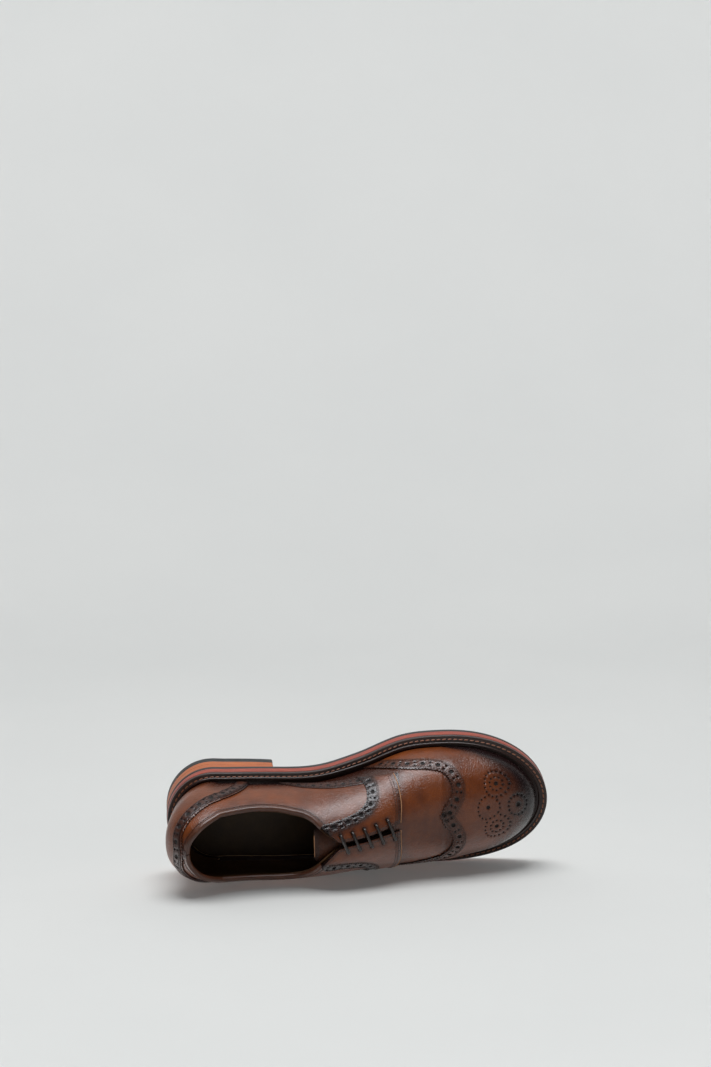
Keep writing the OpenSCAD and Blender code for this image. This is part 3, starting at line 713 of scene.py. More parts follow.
def sheet_patch(name, grid, top, bottom, mat, body="shoe", replaces=(), burn=None):
    """A closed sheet over a rectangular chart grid (rows, columns, 2)."""
    r, c = grid.shape[:2]
    A, Bb = grid[..., 0].ravel(), grid[..., 1].ravel()
    t = top(A, Bb) if callable(top) else np.full(A.shape, float(top))
    bt = bottom(A, Bb) if callable(bottom) else np.full(A.shape, float(bottom))
    up, lo = place(skin(A, Bb, t)), place(skin(A, Bb, bt))
    n = r * c
    f = []
    for i in range(r - 1):
        for j in range(c - 1):
            k = i * c + j
            f.append((k, k + c, k + c + 1, k + 1))
            f.append((n + k, n + k + 1, n + k + c + 1, n + k + c))
    for i in range(r - 1):
        k = i * c
        f.append((k, k + n, k + c + n, k + c))
        k = i * c + c - 1
        f.append((k, k + c, k + c + n, k + n))
    for j in range(c - 1):
        f.append((j, j + 1, j + 1 + n, j + n))
        k = (r - 1) * c + j
        f.append((k, k + n, k + 1 + n, k + 1))
    bb = np.zeros(2 * n) if burn is None else np.concatenate([burn(A, Bb), burn(A, Bb)])
    return build(name, np.vstack([up, lo]), f, mat, body, None, bb, sharp=0.9, replaces=replaces)


# ---------------------------------------------------------------- lines on the upper
MIDDLE = [[1.32, 0], [1.5, 0.075], [1.6, 0.08], [1.9, 0.08]]
SLOT_TURN = SLOT_HALF / (1.06 * BALL)


def rise_fan(a):
    return curve(HEEL_FAN, 180 - 90 * a)


lo_, hi_ = 0.5, 1.0
for _ in range(12):
    mm_ = (lo_ + hi_) / 2
    zz_ = float(curve(SEAT, LH) + rise_fan(mm_) * math.sin(math.radians(180 - 90 * mm_)))
    if zz_ > BACK_H:
        hi_ = mm_
    else:
        lo_ = mm_
BACK_A = (lo_ + hi_) / 2
SHARE = [[BACK_A, 1], [BACK_A + 0.05, 0.95], [0.86, 0.75], [0.93, 0.57], [1, 0.4], [1.12, 0.12],
         [1.22, 0.005], [1.3, 0],
         [1.37, 0.11], [1.44, 0.42]]


def run(a0, a1, b0, b1, n):
    """A straight run of n chart points."""
    return np.stack([np.linspace(a0, a1, n), np.linspace(b0, b1, n)], -1)


def b_at_height(a, z):
    a = np.asarray(a, float)
    l0 = np.where(a < 1, LH, LH + (a - 1) * (LC - LH))
    al = np.where(a < 1, 180 - 90 * a, 90.0)
    R = np.where(a < 1, curve(HEEL_FAN, al), curve(CREST, l0) - curve(SEAT, l0)) * np.sin(np.radians(al))
    u = np.clip((z - curve(SEAT, l0)) / R, 0, 1)
    return np.degrees(np.arccos(np.clip(u ** (curve(ROUND_TOP, a) / 2), 0, 1))) / 90


CT = float(b_at_height(1.41, SIDE_H + (BACK_H - SIDE_H) * float(curve(SHARE, 1.41))))
THROAT = [[1.41, CT], [1.45, CT * 0.64], [1.49, CT * 0.3 + SLOT_TURN * 0.3], [1.525, SLOT_TURN],
          [1.9, SLOT_TURN]]


def opening(a):
    a = np.asarray(a, float)
    h = SIDE_H + (BACK_H - SIDE_H) * curve(SHARE, a)
    return np.where(a <= BACK_A, 0.003, np.where(a < 1.41, b_at_height(a, h), curve(THROAT, a)))


def rim_b(a, side):
    return side * opening(a) + curve(MIDDLE, a)


def sided(points, side):
    """A smooth chart line, mirrored for the outer side."""
    return spline([(a, side * b) for a, b in points])


SUNK = 0.8 * QUARTER_TOP
SINK = [[0, SUNK], [1.02, SUNK], [1.1, SUNK], [1.38, 0], [1.45, 0], [3, 0]]
FOX_TOP = 0.75 * QUARTER_TOP
q_depth = lambda a, b: QUARTER_TOP + curve(SINK, a)
TAB = 1.8            # the chart place of the tab's front edge
BAND_LIFT = 0.75     # how far the thin bands stand above the leather under them
HOLE_SHADE_LIFT = 0.14    # the painted shade disc in a band's hole, above that leather
DEEP_SHADE_DISC = 0.98    # the painted shade disc in a hole in a full leather, below its face
BAND_THICK = 0.7
EYELETS = 5
EYELET_B = (SLOT_HALF + 4.8) / (1.06 * BALL)  # eyelets from the middle line, in the chart
EYELET_SLANT = 0.017  # one eyelet of a pair stands nearer the toe by twice this
QLOW = [[1.8, 0.70], [1.7, 0.77], [1.61, 0.85], [1.5, 0.93], [1.41, 0.97], [1.28, 0.992], [1.2, EDGE]]


def eyelet_a(i):
    """The chart place of pair i, counted from the toe's side."""
    return 1.755 + (1.54 - 1.755) * i / (EYELETS - 1)


def smooth(x, lo, hi):
    t = np.clip((x - lo) / (hi - lo), 0, 1)
    return t * t * (3 - 2 * t)


def toe_burn(a, b):
    return 1.0 * smooth(a, 2.5, 2.93) + 0.3 * smooth(np.abs(b), 0.8, 1.0) * smooth(a, 1.9, 2.4)


# ---- quarters
for side, nm in ((1, "medial"), (-1, "lateral")):
    aa = np.concatenate([np.linspace(BACK_A + 0.001, 1.1, 60), np.linspace(1.1, TAB, 110)])
    collar = np.stack([aa, rim_b(aa, side) + side * 0.001], -1)
    seam = run(HEEL_FOOT, BACK_A, side * 0.002, side * 0.002, 50)
    front = run(TAB, TAB, float(rim_b(TAB, side)), side * 0.70, 40)
    low = sided(QLOW, side)
    foot = run(1.2, HEEL_FOOT, side * EDGE, side * EDGE, 90)
    heel = run(HEEL_FOOT, HEEL_FOOT, side * EDGE, side * 0.002, 60)
    loop = np.vstack([seam, collar, front, low, foot, heel])
    eyelets = []
    for i in range(EYELETS):
        ea = eyelet_a(i)
        eyelets.append((ea - EYELET_SLANT * side, side * EYELET_B + float(curve(MIDDLE, ea)), 1.6))

    def qb(a, b, d):
        rim = np.clip(1 - d / 9, 0, 1) ** 1.3 * 0.75
        return rim + 0.5 * smooth(np.abs(b), 0.86, 1) + 0.18 * smooth(a, 1.1, 1.5)

    panel(nm + "_quarter_leather", loop, eyelets, q_depth, tan, (nm + "_quarter",), burn=qb)

    # waist band with its holes
    sm = [(1.645, 0.845), (1.61, 0.862), (1.54, 0.905), (1.48, 0.94), (1.41, 0.968), (1.33, 0.985),
          (1.27, 0.992)]
    si = [(1.27, 0.985), (1.31, 0.955), (1.37, 0.91), (1.44, 0.865), (1.52, 0.815), (1.60, 0.77),
          (1.655, 0.745)]
    outer = spline([(p[0], side * (p[1] - 0.004)) for p in sm])
    inner = sided(si, side)
    hl = sided([(1.62, 0.81), (1.56, 0.835), (1.49, 0.875), (1.41, 0.92), (1.34, 0.957), (1.29, 0.977)], side)
    wh = brogue(hl[::-1], big=1.6, small=0.7)
    wb = lambda a, b, d: 0.26 + np.clip(1 - d / 2.5, 0, 1) * 0.4
    s_depth = lambda a, b: q_depth(a, b) + BAND_LIFT
    panel(nm + "_waist_band", np.vstack([outer, inner]), wh, s_depth, band, burn=wb, thick=BAND_THICK,
          step=1.2)
    # painted shade in the waist band's holes
    discs(nm + "_waist_hole_floors", wh, lambda a, b: float(q_depth(a, b)) + HOLE_SHADE_LIFT, hole_shade_paint)
    t_ = np.linspace(0, 1, 70)
    i2 = np.stack([np.interp(t_, np.linspace(0, 1, len(inner)), inner[:, c_]) for c_ in (0, 1)], -1)
    o2 = np.stack([np.interp(t_, np.linspace(0, 1, len(outer)), outer[::-1, c_]) for c_ in (0, 1)], -1)
    stitch_rows(nm + "_waist_stitches", [(i2 * 0.84 + o2 * 0.16, s_depth), (i2 * 0.2 + o2 * 0.8, s_depth)])

    # facing with its tab, pinked towards the quarter
    fa = np.linspace(1.437, TAB - 0.002, 90)
    slot = np.stack([fa, rim_b(fa, side) + side * 0.003], -1)
    tab = spline([(TAB - 0.002, float(rim_b(TAB, side)) + side * 0.003), (1.803, side * 0.3),
                  (1.799, side * 0.45), (1.79, side * 0.58), (1.778, side * 0.70)])
    tablow = sided([(1.778, 0.70), (1.72, 0.752), (1.66, 0.815), (1.612, 0.858)], side)
    pink_line = sided([(1.612, 0.858), (1.635, 0.78), (1.648, 0.70), (1.652, 0.62), (1.645, 0.53),
                       (1.61, 0.465), (1.56, 0.435), (1.50, 0.415), (1.455, 0.40)], side)
    if side < 0:
        pink_line = pink_line + np.array([[0, 0.03]]) * smooth(1.66 - pink_line[:, :1], 0, 0.15)
    pk = pinked(pink_line, side)
    loop = np.vstack([slot, tab, tablow, pk])
    hole_line = offset(pink_line, 4.9 * side)
    fh = brogue(hole_line, big=1.6)
    # none at the foot, none beside the slot
    fh = [h for h in fh if abs(h[1]) < 0.86
          and not (h[0] > 1.5 and abs(h[1] - float(curve(MIDDLE, h[0]))) < 0.2)]
    kp = KDTree(len(pink_line))
    for i_, p_ in enumerate(shell(pink_line[:, 0], pink_line[:, 1])):
        kp.insert(p_, i_)
    kp.balance()

    def fb(a, b, d):
        dp = np.array([kp.find(p_)[2] for p_ in shell(a, b)])
        return 0.46 * (1 - smooth(dp, 8.0, 13.5)) + np.clip(1 - d / 3.5, 0,
                                                            1) * 0.35 + 0.25 * smooth(a, 1.755, 1.8) + 0.12

    panel(nm + "_facing_leather", loop, fh + eyelets, 0.0, tan, (nm + "_facing",), burn=fb, step=1.2)
    # painted shade in the facing's holes
    discs(nm + "_facing_hole_floors", fh, -DEEP_SHADE_DISC, hole_shade_paint)
    rows = [(offset(pink_line, 1.7 * side), 0.0), (offset(pink_line, 8.4 * side), 0.0),
            (offset(pink_line, 9.6 * side), 0.0),
            (slot[8:] + np.array([[0, side * 0.034]]), 0.0), (tab + np.array([[-0.014, 0]]), 0.0),
            (tab + np.array([[-0.024, 0]]), 0.0)]
    stitch_rows(nm + "_facing_stitches", rows)
    P_ = skin(tab[:, 0] + 0.002, tab[:, 1], np.full(len(tab), -LEATHER / 2))
    V_, F_ = tube(P_, normal(tab[:, 0], tab[:, 1]), 0.42, sides=8)
    build(nm + "_tab_cut_edge", V_, F_, raw_edge)

# ---- vamp
vb = [(1.32, -0.996), (1.45, -0.8), (1.62, -0.6), (1.69, -0.48), (1.766, -0.33), (1.77, -0.1), (1.77, 0.1),
      (1.766, 0.33), (1.69, 0.48),
      (1.62, 0.6), (1.45, 0.8), (1.32, 0.996)]
vf = [(1.86, 0.996), (1.95, 0.86), (2.08, 0.72), (2.3, 0.6), (2.4, 0.45), (2.36, 0.25), (2.24, 0.0),
      (2.36, -0.25), (2.4, -0.45), (2.3, -0.6),
      (2.08, -0.72), (1.95, -0.86), (1.86, -0.996)]
loop = np.vstack([resample(spline(vb), 1.5), run(1.32, 1.86, EDGE, EDGE, 40), resample(spline(vf), 1.5),
                  run(1.86, 1.32, -EDGE, -EDGE, 40)])


def vburn(a, b, d):
    front = 0.55 * smooth(a, 1.9, 2.12) * (1 - 0.4 * smooth(np.abs(b), 0.5, 0.7))
    return front + 0.4 * (1 - smooth(a, 1.79, 1.86)) + 0.35 * smooth(np.abs(b), 0.6, 0.98)


def vamp_depth(a, b):
    w = np.exp(-((a - 1.87) / 0.05) ** 2) * (1 - smooth(np.abs(b), 0.55, 0.9))
    return VAMP_TOP + 0.07 * w * np.sin((a - 1.8) * 120 + 2 * np.sin(b * 4)) * smooth(a, 1.81, 1.84)


panel("vamp_leather", loop, [], vamp_depth, tan, ("vamp",), burn=vburn, step=1.3)

# ---- wing cap
half_back = [(1.66, 0.996), (1.69, 0.95), (1.77, 0.81), (1.85, 0.70), (1.93, 0.645), (2.0, 0.585),
             (2.07, 0.52), (2.115, 0.43), (2.12, 0.33),
             (2.075, 0.235), (2.02, 0.15), (1.985, 0.06)]
lat_back = [(1.66, -0.996), (1.69, -0.95), (1.77, -0.79), (1.85, -0.67), (1.93, -0.60), (2.0, -0.52),
            (2.07, -0.43), (2.115, -0.33), (2.12, -0.22),
            (2.075, -0.115), (2.02, -0.03)]
med = spline(half_back)
lat = spline(lat_back + [(1.985, 0.06)])
wing_line = np.vstack([lat, med[::-1][1:]])
pk = pinked(wing_line, 1)
foot1 = run(1.66, TOE_FOOT, EDGE, EDGE, 150)
front = run(TOE_FOOT, TOE_FOOT, EDGE, -EDGE, 160)
foot2 = run(TOE_FOOT, 1.66, -EDGE, -EDGE, 150)
loop = np.vstack([pk, foot1, front, foot2])
medal = []
for ca, cb, rings_ in ((2.62, 0.33, (5.6, 10.6)), (2.49, 0.08, (9.4,)), (2.735, 0.06, (8.6,)),
                       (2.58, -0.15, (5.6, 10.6))):
    medal.append((ca, cb, 1.7))
    Pa, Pb, n = metric(np.array([ca]), np.array([cb]))
    e1 = unit(Pa)[0]
    e2 = np.cross(n[0], e1)
    for R_ in rings_:
        cnt = int(round(2 * math.pi * R_ / 3.7))
        for k in range(cnt):
            th = 2 * math.pi * (k + 0.5) / cnt
            v = R_ * (math.cos(th) * e1 + math.sin(th) * e2)
            c = np.array([ca, cb]) + to_chart(Pa, Pb, v[None])[0]
            p = shell(c[0], c[1])
            if all(np.linalg.norm(p - shell(h[0], h[1])) > 2.3 + (h[2] - 0.6) for h in medal):
                medal.append((c[0], c[1], 0.8))
band_line = offset(wing_line, -4.9)
wing_holes = brogue(band_line)
kdw = KDTree(len(wing_line))
for i_, p_ in enumerate(shell(wing_line[:, 0], wing_line[:, 1])):
    kdw.insert(p_, i_)
kdw.balance()


def wing_burn(a, b, d):
    P = shell(a, b)
    dw = np.array([kdw.find(p)[2] for p in P])
    return 0.46 * (1 - smooth(dw, 8.0, 14)) + toe_burn(a, b) + 0.25 * np.clip(1 - d / 2, 0, 1)


panel("wing_cap_leather", loop, wing_holes + medal, QUARTER_TOP, tan, ("wing_cap",), burn=wing_burn,
      step=1.25)
# painted shade in the wing cap's holes and medallion
discs("wing_hole_floors", wing_holes + medal, QUARTER_TOP - DEEP_SHADE_DISC, hole_shade_paint)
stitch_rows("wing_stitches",
            [(offset(wing_line, -1.5), QUARTER_TOP), (offset(wing_line, -8.5), QUARTER_TOP),
             (offset(wing_line, -9.8), QUARTER_TOP)])

# ---- heel foxing
fox = [(1.13, 0.99), (1.105, 0.93), (1.06, 0.86), (1.0, 0.80), (0.92, 0.765), (0.85, 0.72), (0.77, 0.62),
       (0.715, 0.49), (0.685, 0.36), (0.672, 0.22),
       (BACK_A - 0.04, 0.0)]
fl = [(p[0], -p[1]) for p in fox[:-1]]
fox_line = spline(fl + [fox[-1]] + fox[:-1][::-1])
pk = pinked(fox_line, -1)
pk[:, 0] = np.minimum(pk[:, 0], 1.16)
foot1 = run(1.13, HEEL_FOOT, EDGE, EDGE, 120)
back_ = run(HEEL_FOOT, HEEL_FOOT, EDGE, -EDGE, 140)
foot2 = run(HEEL_FOOT, 1.13, -EDGE, -EDGE, 120)
loop = np.vstack([pk, foot1, back_, foot2])
panel("heel_foxing_leather", loop, [], FOX_TOP, tan, ("heel_foxing",),
      burn=lambda a, b, d: np.clip(1 - d / 11, 0, 1) * 0.4 + 0.4 * smooth(np.abs(b), 0.82, 1) + 0.1, step=1.4)
fox_holes = [h for h in brogue(offset(fox_line, 4.9)) if abs(h[1]) < 0.95]
bo, bi = offset(fox_line, 0.8), offset(fox_line, 9.0)
panel("heel_band", np.vstack([bo, bi[::-1]]), fox_holes, FOX_TOP + BAND_LIFT, band, burn=lambda a, b,
      d: 0.26 + 0.4 * np.clip(1 - d / 2.5, 0, 1),
      thick=BAND_THICK, step=1.2)
# painted shade in the heel band's holes
discs("heel_hole_floors", fox_holes, FOX_TOP + HOLE_SHADE_LIFT, hole_shade_paint)
stitch_rows("heel_stitches",
            [(offset(fox_line, 2.0), FOX_TOP + BAND_LIFT), (offset(fox_line, 7.8), FOX_TOP + BAND_LIFT)])

# ---------------------------------------------------------------- linings, sock, tongue
INNER_B = 0.985  # the chart place where the linings end at the foot
ga = np.linspace(BACK_A + 0.002, 1.765, 150)
for side, nm in ((1, "medial"), (-1, "lateral")):
    # in front of the throat the lining stays under the facing
    foot_b = side * np.where(ga > 1.5, INNER_B - 0.35 * smooth(ga, 1.5, 1.7), INNER_B)
    rows = []
    for k in range(60):
        t = k / 59
        rows.append(np.stack([ga, (1 - t) * rim_b(ga, side) + t * foot_b], -1))
    grid = np.array(rows)
    if side < 0:
        grid = grid[:, ::-1]
    sheet_patch(nm + "_lining_leather", grid, LINING_TOP + PLY, LINING_BOTTOM, lining,
                replaces=(nm + "_quarter_lining",))
    back = np.array([run(a_, a_, 0.0, side * INNER_B, 60) for a_ in np.linspace(HEEL_FOOT, BACK_A, 70)])
    if side < 0:
        back = back[:, ::-1]
    sheet_patch(nm + "_lining_back", back.transpose(1, 0, 2), LINING_TOP + PLY, LINING_BOTTOM, lining)

vl = np.array([run(a_, a_, -INNER_B, INNER_B, 90) for a_ in np.linspace(1.775, 2.985, 110)])
sheet_patch("vamp_lining_leather", vl.transpose(1, 0, 2), LINING_TOP, LINING_BOTTOM, lining,
            replaces=("vamp_lining",))


BREAST_HOLLOW = 4.0  # how far the heel's front face is hollowed
END_REACH = 28       # the middle line of a level stops this far from its ends


def slab_loop(name, off, reach, zt, zb, mat, hi=None, edge=0.5, groove=(), replaces=()):
    """A level of the bottom: an outline with softened edges between two surfaces."""
    P = offset_loop(closed_loop(40, 110), off, reach)
    if hi is not None:
        keep = P[:, 0] <= hi
        idx = np.where(~keep)[0]
        k0, k1 = idx[0], idx[-1]
        Q = np.vstack([P[k1 + 1:], P[:k0]])
        y0 = np.interp(hi, [Q[-1, 0], P[k0, 0]], [Q[-1, 1], P[k0, 1]])
        y1 = np.interp(hi, [Q[0, 0], P[k1, 0]], [Q[0, 1], P[k1, 1]])
        fx = np.linspace(0, 1, 30)[:, None]
        breast = np.hstack([hi - BREAST_HOLLOW * (4 * fx * (1 - fx)), y0 + (y1 - y0) * fx])
        P = np.vstack([Q, breast])
    C = np.vstack([P, P[:1]])
    s = arc(C)
    n = int(s[-1] / 1.6)
    q = np.linspace(0, s[-1], n, endpoint=False)
    P = np.stack([np.interp(q, s, C[:, 0]), np.interp(q, s, C[:, 1])], -1)
    t = np.roll(P, -1, 0) - np.roll(P, 1, 0)
    t = t / np.linalg.norm(t, axis=1, keepdims=True)
    out = np.stack([-t[:, 1], t[:, 0]], -1)
    prof = [(edge * 0.9, 0.0), (edge * 0.35, edge * 0.18), (0.05, edge * 0.55)]
    rows, zs = [], []
    for inw, dn in prof:
        rows.append(P - out * inw)
        zs.append(zt((P - out * inw)[:, 0]) - dn)
    side_n = 5
    for k in range(side_n):
        f = (k + 0.5) / side_n
        g = 0.0
        for gf, gd in groove:
            g = max(g, gd * math.exp(-((f - gf) / 0.08) ** 2))
        rows.append(P - out * g)
        zs.append((zt(P[:, 0]) - edge * 0.55) * (1 - f) + (zb(P[:, 0]) + edge * 0.55) * f)
    for inw, dn in prof[::-1]:
        rows.append(P - out * inw)
        zs.append(zb((P - out * inw)[:, 0]) + dn)
    # inner rings towards the middle line close both faces
    x = np.clip(P[:, 0], P[:, 0].min() + END_REACH, P[:, 0].max() - END_REACH)
    cen = np.stack([x, curve(BEND, x)], -1)
    V = []
    for r, z in zip(rows, zs):
        V.append(np.column_stack([r, z]))
    for frac in (0.12, 0.3, 0.55, 0.8, 1.0):
        r = rows[0] * (1 - frac) + cen * frac
        V.insert(0, np.column_stack([r, zt(r[:, 0])]))
        r = rows[-1] * (1 - frac) + cen * frac
        V.append(np.column_stack([r, zb(r[:, 0])]))
    n = len(P)
    m_ = len(V)
    VV = place(np.vstack(V))
    F = []
    for i in range(m_ - 1):
        a0 = np.arange(n)
        b0 = (a0 + 1) % n
        F += list(zip(i * n + a0, i * n + b0, (i + 1) * n + b0, (i + 1) * n + a0))
    return build(name, VV, F, mat, sharp=0.9, merge=True, replaces=replaces)


def sz(d):
    return lambda x: curve(SEAT, x) + d


def level(z):
    return lambda x: np.full(np.shape(x), float(z))


slab_loop("welt_leather_slab", -0.3, 1, sz(-SEAT_GAP), sz(-SEAT_GAP - WELT_T), welt_mat, edge=0.8,
          replaces=("welt",))
slab_loop("midsole_slab", -0.1, 1, sz(-3.8), sz(-3.8 - MID_T), mid_mat, edge=0.7,
          groove=((0.06, 0.35), (0.5, 0.12)), replaces=("midsole",))
slab_loop("outsole_slab", 0, 1, sz(-10.25), sz(-13.85), rubber, edge=0.9, replaces=("outsole",))
slab_loop("heel_top_rubber", -0.5, 1, level(TOP_PIECE), level(0.0), rubber, hi=BREAST, edge=0.8,
          replaces=("heel_top_piece",))
hz = sz(-SOLE_T)
slab_loop("heel_lift_low", -0.5, 1, lambda x: (hz(x) + TOP_PIECE) / 2 + 0 * x, level(TOP_PIECE + 0.05),
          stack, hi=BREAST, edge=0.35,
          groove=((0.5, 0.12),), replaces=("heel_lift_lower",))
slab_loop("heel_lift_high", -0.5, 1, lambda x: hz(x) - 0.05, lambda x: (hz(x) + TOP_PIECE) / 2 + 0.05,
          stack, hi=BREAST, edge=0.35,
          groove=((0.5, 0.12),), replaces=("heel_lift_upper",))
slab_loop("insole_slab", LINING_BOTTOM - 1, 0, sz(2.35), sz(-0.2), insole_mat, edge=0.5, replaces=("insole",))
slab_loop("sock_slab", LINING_BOTTOM - 1.8, 0, sz(3.4), sz(2.4), sock, edge=0.4, replaces=("sock_lining",))

# the ridge of the storm welt, tight against the upper
f0 = closed_loop(60, 170)
sec = [(0.3, 0.0), (0.5, 0.9), (0.9, 1.35), (1.4, 1.45), (1.95, 1.2), (2.3, 0.55), (2.5, -0.1), (2.4, -0.5),
       (0.4, -0.5)]
rings_ = []
for off_, z_ in sec:
    P = offset_loop(f0, off_, 0)
    rings_.append(np.column_stack([P, curve(SEAT, P[:, 0]) - SEAT_GAP + z_]))
n = len(f0)
R = place(np.vstack(rings_))
F = []
for i in range(len(sec)):
    j = (i + 1) % len(sec)
    for k in range(n):
        q = (k + 1) % n
        F.append((i * n + k, j * n + k, j * n + q, i * n + q))
build("welt_ridge", R, F, welt_mat, merge=True, sharp=1.0)

# welt stitches: light threads lying along the welt, one at each point
wl = offset_loop(closed_loop(60, 170), -3.2, 1)
C = np.vstack([wl, wl[:1]])
s = arc(C)
n = int(s[-1] / 4.4)
q = (np.arange(n) + 0.5) * s[-1] / n
px, py = np.interp(q, s, C[:, 0]), np.interp(q, s, C[:, 1])
e = 0.5
ahead = np.minimum(q + e, s[-1])
tx, ty = [np.interp(ahead, s, C[:, c]) - np.interp(q - e, s, C[:, c]) for c in (0, 1)]
sl = (curve(SEAT, px + 0.5) - curve(SEAT, px - 0.5))
T = unit(np.stack([tx, ty, sl * tx], -1))
N = unit(np.stack([-sl, 0 * sl, np.ones(n)], -1))
P = np.stack([px, py, curve(SEAT, px) - SEAT_GAP + 0.18], -1)
ob = stitches("welt_thread_stitches", P, T, N, 3.3, 0.52, thread_tan, slant=0.12)
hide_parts("welt_stitches")

# collar binding, rolled over the topline
rim = []
for side in (1, -1):
    aa = np.linspace(BACK_A, 1.438, 260)
    pts = np.stack([aa, rim_b(aa, side)], -1)
    rim.append(pts if side > 0 else pts[::-1])
for side, pts, nm in ((1, rim[0], "medial"), (-1, rim[1], "lateral")):
    Pa, Pb, n_, T_, B_ = frames(pts)
    base = shell(pts[:, 0], pts[:, 1])
    dq = q_depth(pts[:, 0], pts[:, 1])
    # towards the leather is +b for the medial side
    tow = B_
    chk = (metric(pts[:, 0], pts[:, 1])[1] * tow).sum(-1).mean() * side
    tow = tow if chk > 0 else -tow
    sec = [(3.1, 0.12), (2.2, 0.42), (1.0, 0.6), (0.1, 0.4), (-0.75, -0.35), (-1.1, -1.5), (-0.95, -2.7),
           (-0.3, -3.6), (0.8, -4.05), (2.4, -4.1),
           (2.6, -3.7), (1.0, -3.4), (0.3, -2.6), (0.1, -1.5), (0.4, -0.6), (1.2, -0.1), (2.3, -0.1),
           (3.1, -0.12)]
    rings_ = [base + tow * x_ + n_ * (dq + y_)[:, None] for x_, y_ in sec]
    k = len(pts)
    V = place(np.vstack(rings_))
    F = []
    for i in range(len(sec)):
        j = (i + 1) % len(sec)
        F += [(i * k + q_, i * k + q_ + 1, j * k + q_ + 1, j * k + q_) for q_ in range(k - 1)]
    F.append(tuple(i * k for i in range(len(sec))))
    F.append(tuple(i * k + k - 1 for i in reversed(range(len(sec)))))
    build(nm + "_collar_binding", V, F, binding, sharp=1.2,
          replaces=(("collar_piping",) if side > 0 else ()), merge=True)
    rows_ = base + tow * 4.0 + n_ * dq[:, None]
    ds = arc(rows_)
    qn = int(ds[-1] / 2.2)
    qq = (np.arange(qn) + 0.5) * ds[-1] / qn
    P = np.stack([np.interp(qq, ds, rows_[:, c]) for c in range(3)], -1)
    NN = unit(np.stack([np.interp(qq, ds, n_[:, c]) for c in range(3)], -1))
    TT = unit(np.gradient(P, axis=0))
    stitches(nm + "_collar_stitches", P + NN * 0.1, TT, NN, 1.7, 0.28, thread_dark)

# back seam strip
st = np.array([run(a_, a_, -0.055, 0.055, 9) for a_ in np.linspace(BACK_A - 0.045, BACK_A - 0.002, 20)])
sheet_patch("back_seam_strip", st.transpose(1, 0, 2), lambda a,
            b: SUNK + QUARTER_TOP + 0.75 - 0.3 * smooth(np.abs(b), 0.035, 0.055), lambda a,
            b: SUNK + QUARTER_TOP + 0.05 + 0 * a,
            band, burn=lambda a, b: 0.5 + 0 * a)

# tongue
T_DEPTH = LINING_BOTTOM - LACE_D - 0.9
TW = [[1.4, 0.26], [1.44, 0.4], [1.6, 0.42], [1.78, 0.4], [1.86, 0.3], [1.93, 0.22]]
TLIFT = [[1.4, 0], [1.76, 0], [1.8, 0], [1.9, 2.4], [1.94, 2.5]]
rows = []
for t in np.linspace(0, 1, 90):
    a_ = 1.42 + (1.93 - 1.42) * t
    w_ = float(curve(TW, max(a_, 1.4)))
    rows.append(np.stack([np.full(46, a_), float(curve(MIDDLE, a_)) + np.linspace(-w_, w_, 46)], -1))
tg = np.array(rows)


def tl(a, b):
    """The tongue's face, with slight waves."""
    waves = 0.1 * np.sin(a * 60 + b * 9) * np.sin(b * 21) * smooth(a, 1.44, 1.5) * 0.6
    return T_DEPTH + curve(TLIFT, a) + waves


tb = lambda a, b: T_DEPTH + curve(TLIFT, a) - 1.05
sheet_patch("tongue_leather", tg.transpose(1, 0, 2), tl, tb, tongue_mat, "tongue", ("tongue",),
            burn=lambda a, b: 0.55 * (1 - smooth(a, 1.42, 1.47)) + 0.25 * smooth(np.abs(b - 0.07), 0.2, 0.4))
tl2 = lambda a, b: T_DEPTH + curve(TLIFT, a) - 1.2
tb2 = lambda a, b: T_DEPTH + curve(TLIFT, a) - 2.1
sheet_patch("tongue_backing", tg.transpose(1, 0, 2), tl2, tb2, lining, "tongue", ("tongue_lining",))
ea = np.array([[1.4245, float(curve(MIDDLE, 1.4245)) + x] for x in np.linspace(-0.25, 0.25, 60)])
tip = np.stack([np.full(60, 1.4205), ea[:, 1]], -1)
P_ = skin(tip[:, 0], tip[:, 1], np.full(60, T_DEPTH - LEATHER / 2))
V_, F_ = tube(P_, normal(tip[:, 0], tip[:, 1]), 0.5, sides=8)
build("tongue_cut_edge", V_, F_, raw_edge, "tongue")
stitch_rows("tongue_stitches", [(np.array([[1.4345, p[1]] for p in ea]), tl)], body="tongue")

# ---------------------------------------------------------------- lace
OVER, UNDER = LACE_D / 2 + 0.3, LINING_BOTTOM - LACE_D / 2 - 0.35
LACE_EXTRA = 0.12  # the cord is this much thicker in radius than its CAD solid

AV, AF = [], []
for i in range(EYELETS):
    ea_ = eyelet_a(i)
    m0 = float(curve(MIDDLE, ea_))
    bar = []
    for t in np.linspace(-1, 1, 41):
        a_ = ea_ - EYELET_SLANT * t
        b_ = m0 + EYELET_B * t
        # down through the eyelet at both ends, lying over the slot between
        dd = OVER + 0.35 * (1 - t * t)
        bar.append((a_, b_, dd))
    first = [(ea_ + EYELET_SLANT, m0 - EYELET_B, x) for x in np.linspace(UNDER, OVER - 0.8, 9)]
    last = [(ea_ - EYELET_SLANT, m0 + EYELET_B, x) for x in np.linspace(OVER - 0.8, UNDER, 9)]
    path = first + bar[1:-1] + last
    P = np.array([shell(p[0], p[1]) + normal(np.array(p[0]), np.array(p[1])) * p[2] for p in path])
    # round the corners
    for _ in range(3):
        P[1:-1] = 0.25 * P[:-2] + 0.5 * P[1:-1] + 0.25 * P[2:]
    # a normal that keeps clear of the direction on the legs
    ref = np.tile([1.0, 0.0, 0.0], (len(P), 1))
    V, F = tube(P, ref, LACE_D / 2 + LACE_EXTRA)
    o = sum(len(v) for v in AV)
    AV.append(V)
    AF += [tuple(o + j for j in f) for f in F]
build("lace_cord", np.vstack(AV), AF, lace_mat, replaces=("lace",))

